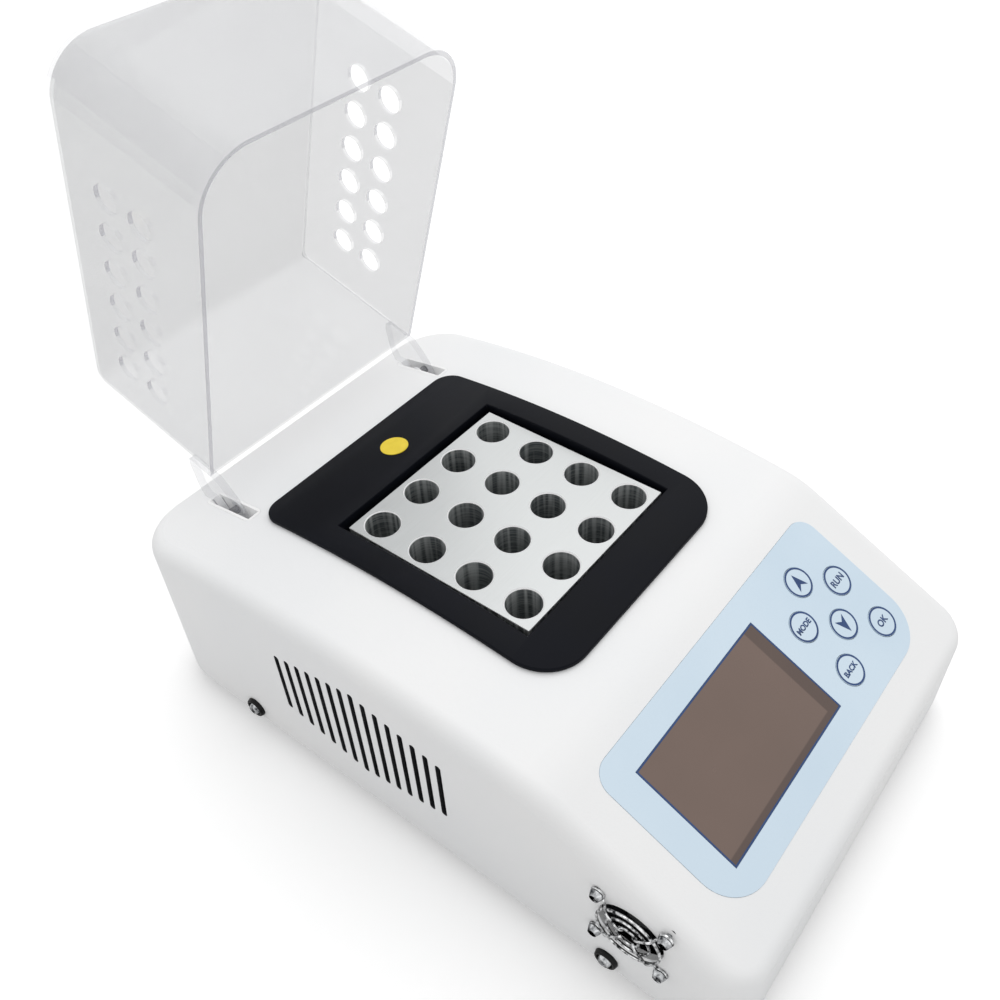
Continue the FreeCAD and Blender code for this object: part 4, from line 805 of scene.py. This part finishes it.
# Painted shade: a darker band along the right edge and the lower edge of the screen.
side_start = WINDOW_RIGHT - SIDE_BAND
low_start = -WINDOW_BOTTOM + LOW_BAND
shaded_bands = work_out(tree, "MAXIMUM", climb(tree, x, side_start - BAND_SOFT, side_start),
                 climb(tree, y, low_start + BAND_SOFT, low_start))
haze = cloud(tree, object_place(tree), lumps=18)
smoke_tone = ramp(tree, haze, GLOSS_STOPS, paints(*SMOKE_TONES))
painted_band_shade = ramp(tree, haze, GLOSS_STOPS, paints(*BAND_SHADE_TONES))
feed(tree, blend(tree, shaded_bands, smoke_tone, painted_band_shade), shader.inputs["Base Color"])
feed(tree, ramp(tree, haze, GLOSS_STOPS, greys(*SMOKE_GLOSS)), shader.inputs["Roughness"])
skin(tree, shader, cloud(tree, flat, MATT_LUMPS, detail=1.0), MATT_STRENGTH, MATT_DEPTH)
dress("display_window", screen_smoke)


# Printing on the film: navy rings with arrows and plain words on the keys, and a thin
# line round the screen.
FILM_TOP = 0.0002
KEY_TOP = 0.00045
PRINT_THICK = 0.00004
PRINT_LIFT = KEY_TOP + PRINT_THICK / 2
PRINT_STEPS = 64
RING_OUTER = 0.0073
RING_WIDTH = 0.0009
WINDOW_LINE = 0.0008
ARROW_SIZE = 0.0046
ARROW_OUTLINE = ((0, 1), (0.72, -0.8), (0, -0.28), (-0.72, -0.8))
ARROW_SIGNS = {"up": 1, "down": -1}
WORD_SIZE = 0.0046
WORD_WEIGHT = 0.00014
LONG_WORD = 4
LONG_WORD_SIZE = WORD_SIZE * 0.8
KEYS = {
    "key_up": (0.0548, 0.0465, "up"),
    "key_run": (0.0717, 0.0601, "RUN"),
    "key_mode": (0.0378, 0.0601, "MODE"),
    "key_down": (0.0548, 0.0737, "down"),
    "key_back": (0.0378, 0.0874, "BACK"),
    "key_ok": (0.0717, 0.0874, "OK"),
}


def on_slope(piece, x, reach, lift):
    """Lay a flat piece on the slope, face up, at a place in its plane."""
    piece.matrix_world = SLOPE_PLACE @ Matrix.Translation((x, -reach, lift))
    settle(piece)


def leave_rim(piece, width):
    """Open the middle of a flat piece, so that a rim of one width stays."""
    edit(piece)
    pick(piece, "FACE", lambda f: abs(f.normal.z) > FACING)
    bpy.ops.mesh.inset(thickness=width)
    bpy.ops.mesh.bridge_edge_loops()
    close()


def print_ring(name):
    """The flat printed ring of a key."""
    bpy.ops.object.select_all(action="DESELECT")
    bpy.ops.mesh.primitive_cylinder_add(vertices=PRINT_STEPS, radius=RING_OUTER, depth=PRINT_THICK)
    piece = named(name)
    leave_rim(piece, RING_WIDTH)
    return piece


def print_arrow(name, sign):
    """An arrow head with a notched tail, pointing up or down the slope."""
    bpy.ops.object.select_all(action="DESELECT")
    bpy.ops.mesh.primitive_circle_add(vertices=4, radius=ARROW_SIZE, fill_type="NGON")
    piece = named(name)
    for point, (x, y) in zip(piece.data.vertices, ARROW_OUTLINE):
        point.co = (x * ARROW_SIZE, y * ARROW_SIZE * sign, 0)
    return piece


def print_word(name, legend):
    """A short word in plain letters, smaller where it is long."""
    bpy.ops.object.select_all(action="DESELECT")
    bpy.ops.object.text_add()
    words = bpy.context.object.data
    words.body = legend
    words.size = WORD_SIZE if len(legend) < LONG_WORD else LONG_WORD_SIZE
    words.offset = WORD_WEIGHT
    words.align_x = "CENTER"
    words.align_y = "CENTER"
    bpy.ops.object.convert(target="MESH")
    return named(name)


print_navy = grained("print_navy", (30, 62, 112), (38, 71, 122),
                     lumps=80, grain=2200, depth=0.00001, rough=(0.4, 0.5))
for key, (x, reach, legend) in KEYS.items():
    dress(key, film_blue)
    ring = print_ring(key + "_ring")
    on_slope(ring, x, reach, PRINT_LIFT)
    if legend in ARROW_SIGNS:
        mark = print_arrow(key + "_mark", ARROW_SIGNS[legend])
    else:
        mark = print_word(key + "_mark", legend)
    edit(mark)
    bpy.ops.mesh.select_all(action="SELECT")
    bpy.ops.mesh.normals_make_consistent(inside=False)
    close()
    thicken(mark, PRINT_THICK, side=0)
    on_slope(mark, x, reach, PRINT_LIFT)
    for piece in (ring, mark):
        coat(piece, print_navy)
        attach(piece, key + "_button")

line = block("screen_line", (WINDOW_LEFT, -WINDOW_BOTTOM, 0),
             (WINDOW_RIGHT, -WINDOW_TOP, PRINT_THICK))
leave_rim(line, WINDOW_LINE)
coat(line, print_navy)
on_slope(line, 0, 0, FILM_TOP)
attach(line, "base")


# Behind the film: the display module on its board, and the key board, a green glass
# fibre board like the other, with its black switches.
board_green = grained("board_green", (24, 84, 58), (32, 100, 70),
                      lumps=60, grain=900, depth=0.00004, rough=(0.4, 0.5))
switch_black = grained("switch_black", (24, 24, 26), (38, 38, 41),
                       lumps=90, grain=1200, depth=0.00004, rough=(0.4, 0.55))
dress("lcd_module", switch_black)
dress("display_board", board_green)
dress("key_board", board_green)
dress("key_switches", switch_black)


# Back: moulded mains inlet with plated blades, a fuse drawer and a rocker switch, all
# set into openings of the back wall.
inlet_black = grained("inlet_black", (24, 24, 26), (36, 36, 39),
                      lumps=60, grain=1400, depth=0.00006, rough=(0.38, 0.5))
for node in ("power_inlet", "fuse_drawer", "switch_body", "rocker_cap"):
    dress(node, inlet_black)
# The blades take the same plating, with its painted reflection.
dress("inlet_blades", plate_painted_reflection)


# Inside: power supply in a steel case and control board, both on plastic posts, and
# the relay with its aluminium heat sink.
sink_metal = grained("sink_metal", (168, 170, 173), (192, 194, 197),
                     lumps=30, grain=500, depth=0.00005, rough=(0.35, 0.5), metal=1.0)
dress("power_supply", sink_metal)
dress("heat_sink", sink_metal)
dress("main_board", board_green)
dress("board_parts", switch_black)
dress("relay", switch_black)
dress("board_posts", spacer_plastic)


# Studio: a pale floor that melts into a white background, an even white sky and one
# large soft lamp from above the right rear.
FLOOR_SIZE = 6.0
FLOOR_TONE = (236, 236, 236)
FLOOR_ROUGH = 0.9
FLOOR_GLOW = 0.33
SKY_LEVEL = 0.715
LAMP_POWER = 11.0
LAMP_SIZE = 1.6
LAMP_PLACE = Vector((0.75, 0.3, 1.6))

bpy.ops.object.select_all(action="DESELECT")
bpy.ops.mesh.primitive_plane_add(size=FLOOR_SIZE, location=(0, 0, 0))
floor = named("studio_floor")
floor_white, tree, shader = new_finish("floor_white")
shader.inputs["Base Color"].default_value = paint(*FLOOR_TONE)
shader.inputs["Roughness"].default_value = FLOOR_ROUGH
shader.inputs["Emission Color"].default_value = grey(FLOOR_GLOW)
seen = tree.nodes.new("ShaderNodeLightPath").outputs
glow = work_out(tree, "MAXIMUM", seen["Is Camera Ray"], seen["Is Transmission Ray"])
feed(tree, glow, shader.inputs["Emission Strength"])
coat(floor, floor_white)

world = bpy.data.worlds.new("studio_sky")
bpy.context.scene.world = world
world.use_nodes = True
tree = world.node_tree
sky = tree.nodes["Background"]
seen = tree.nodes.new("ShaderNodeLightPath").outputs
mirrored = work_out(tree, "MAXIMUM", seen["Is Camera Ray"], seen["Is Glossy Ray"])
shown = work_out(tree, "MAXIMUM", mirrored, seen["Is Transmission Ray"])
feed(tree, climb(tree, shown, 0.0, 1.0, SKY_LEVEL, 1.0), sky.inputs["Strength"])
sky.inputs["Color"].default_value = grey(1.0)

bpy.ops.object.light_add(type="AREA", location=LAMP_PLACE)
lamp = bpy.context.object
lamp.data.shape = "SQUARE"
lamp.data.size = LAMP_SIZE
lamp.data.energy = LAMP_POWER
lamp.rotation_euler = (-LAMP_PLACE).to_track_quat("-Z", "Y").to_euler()
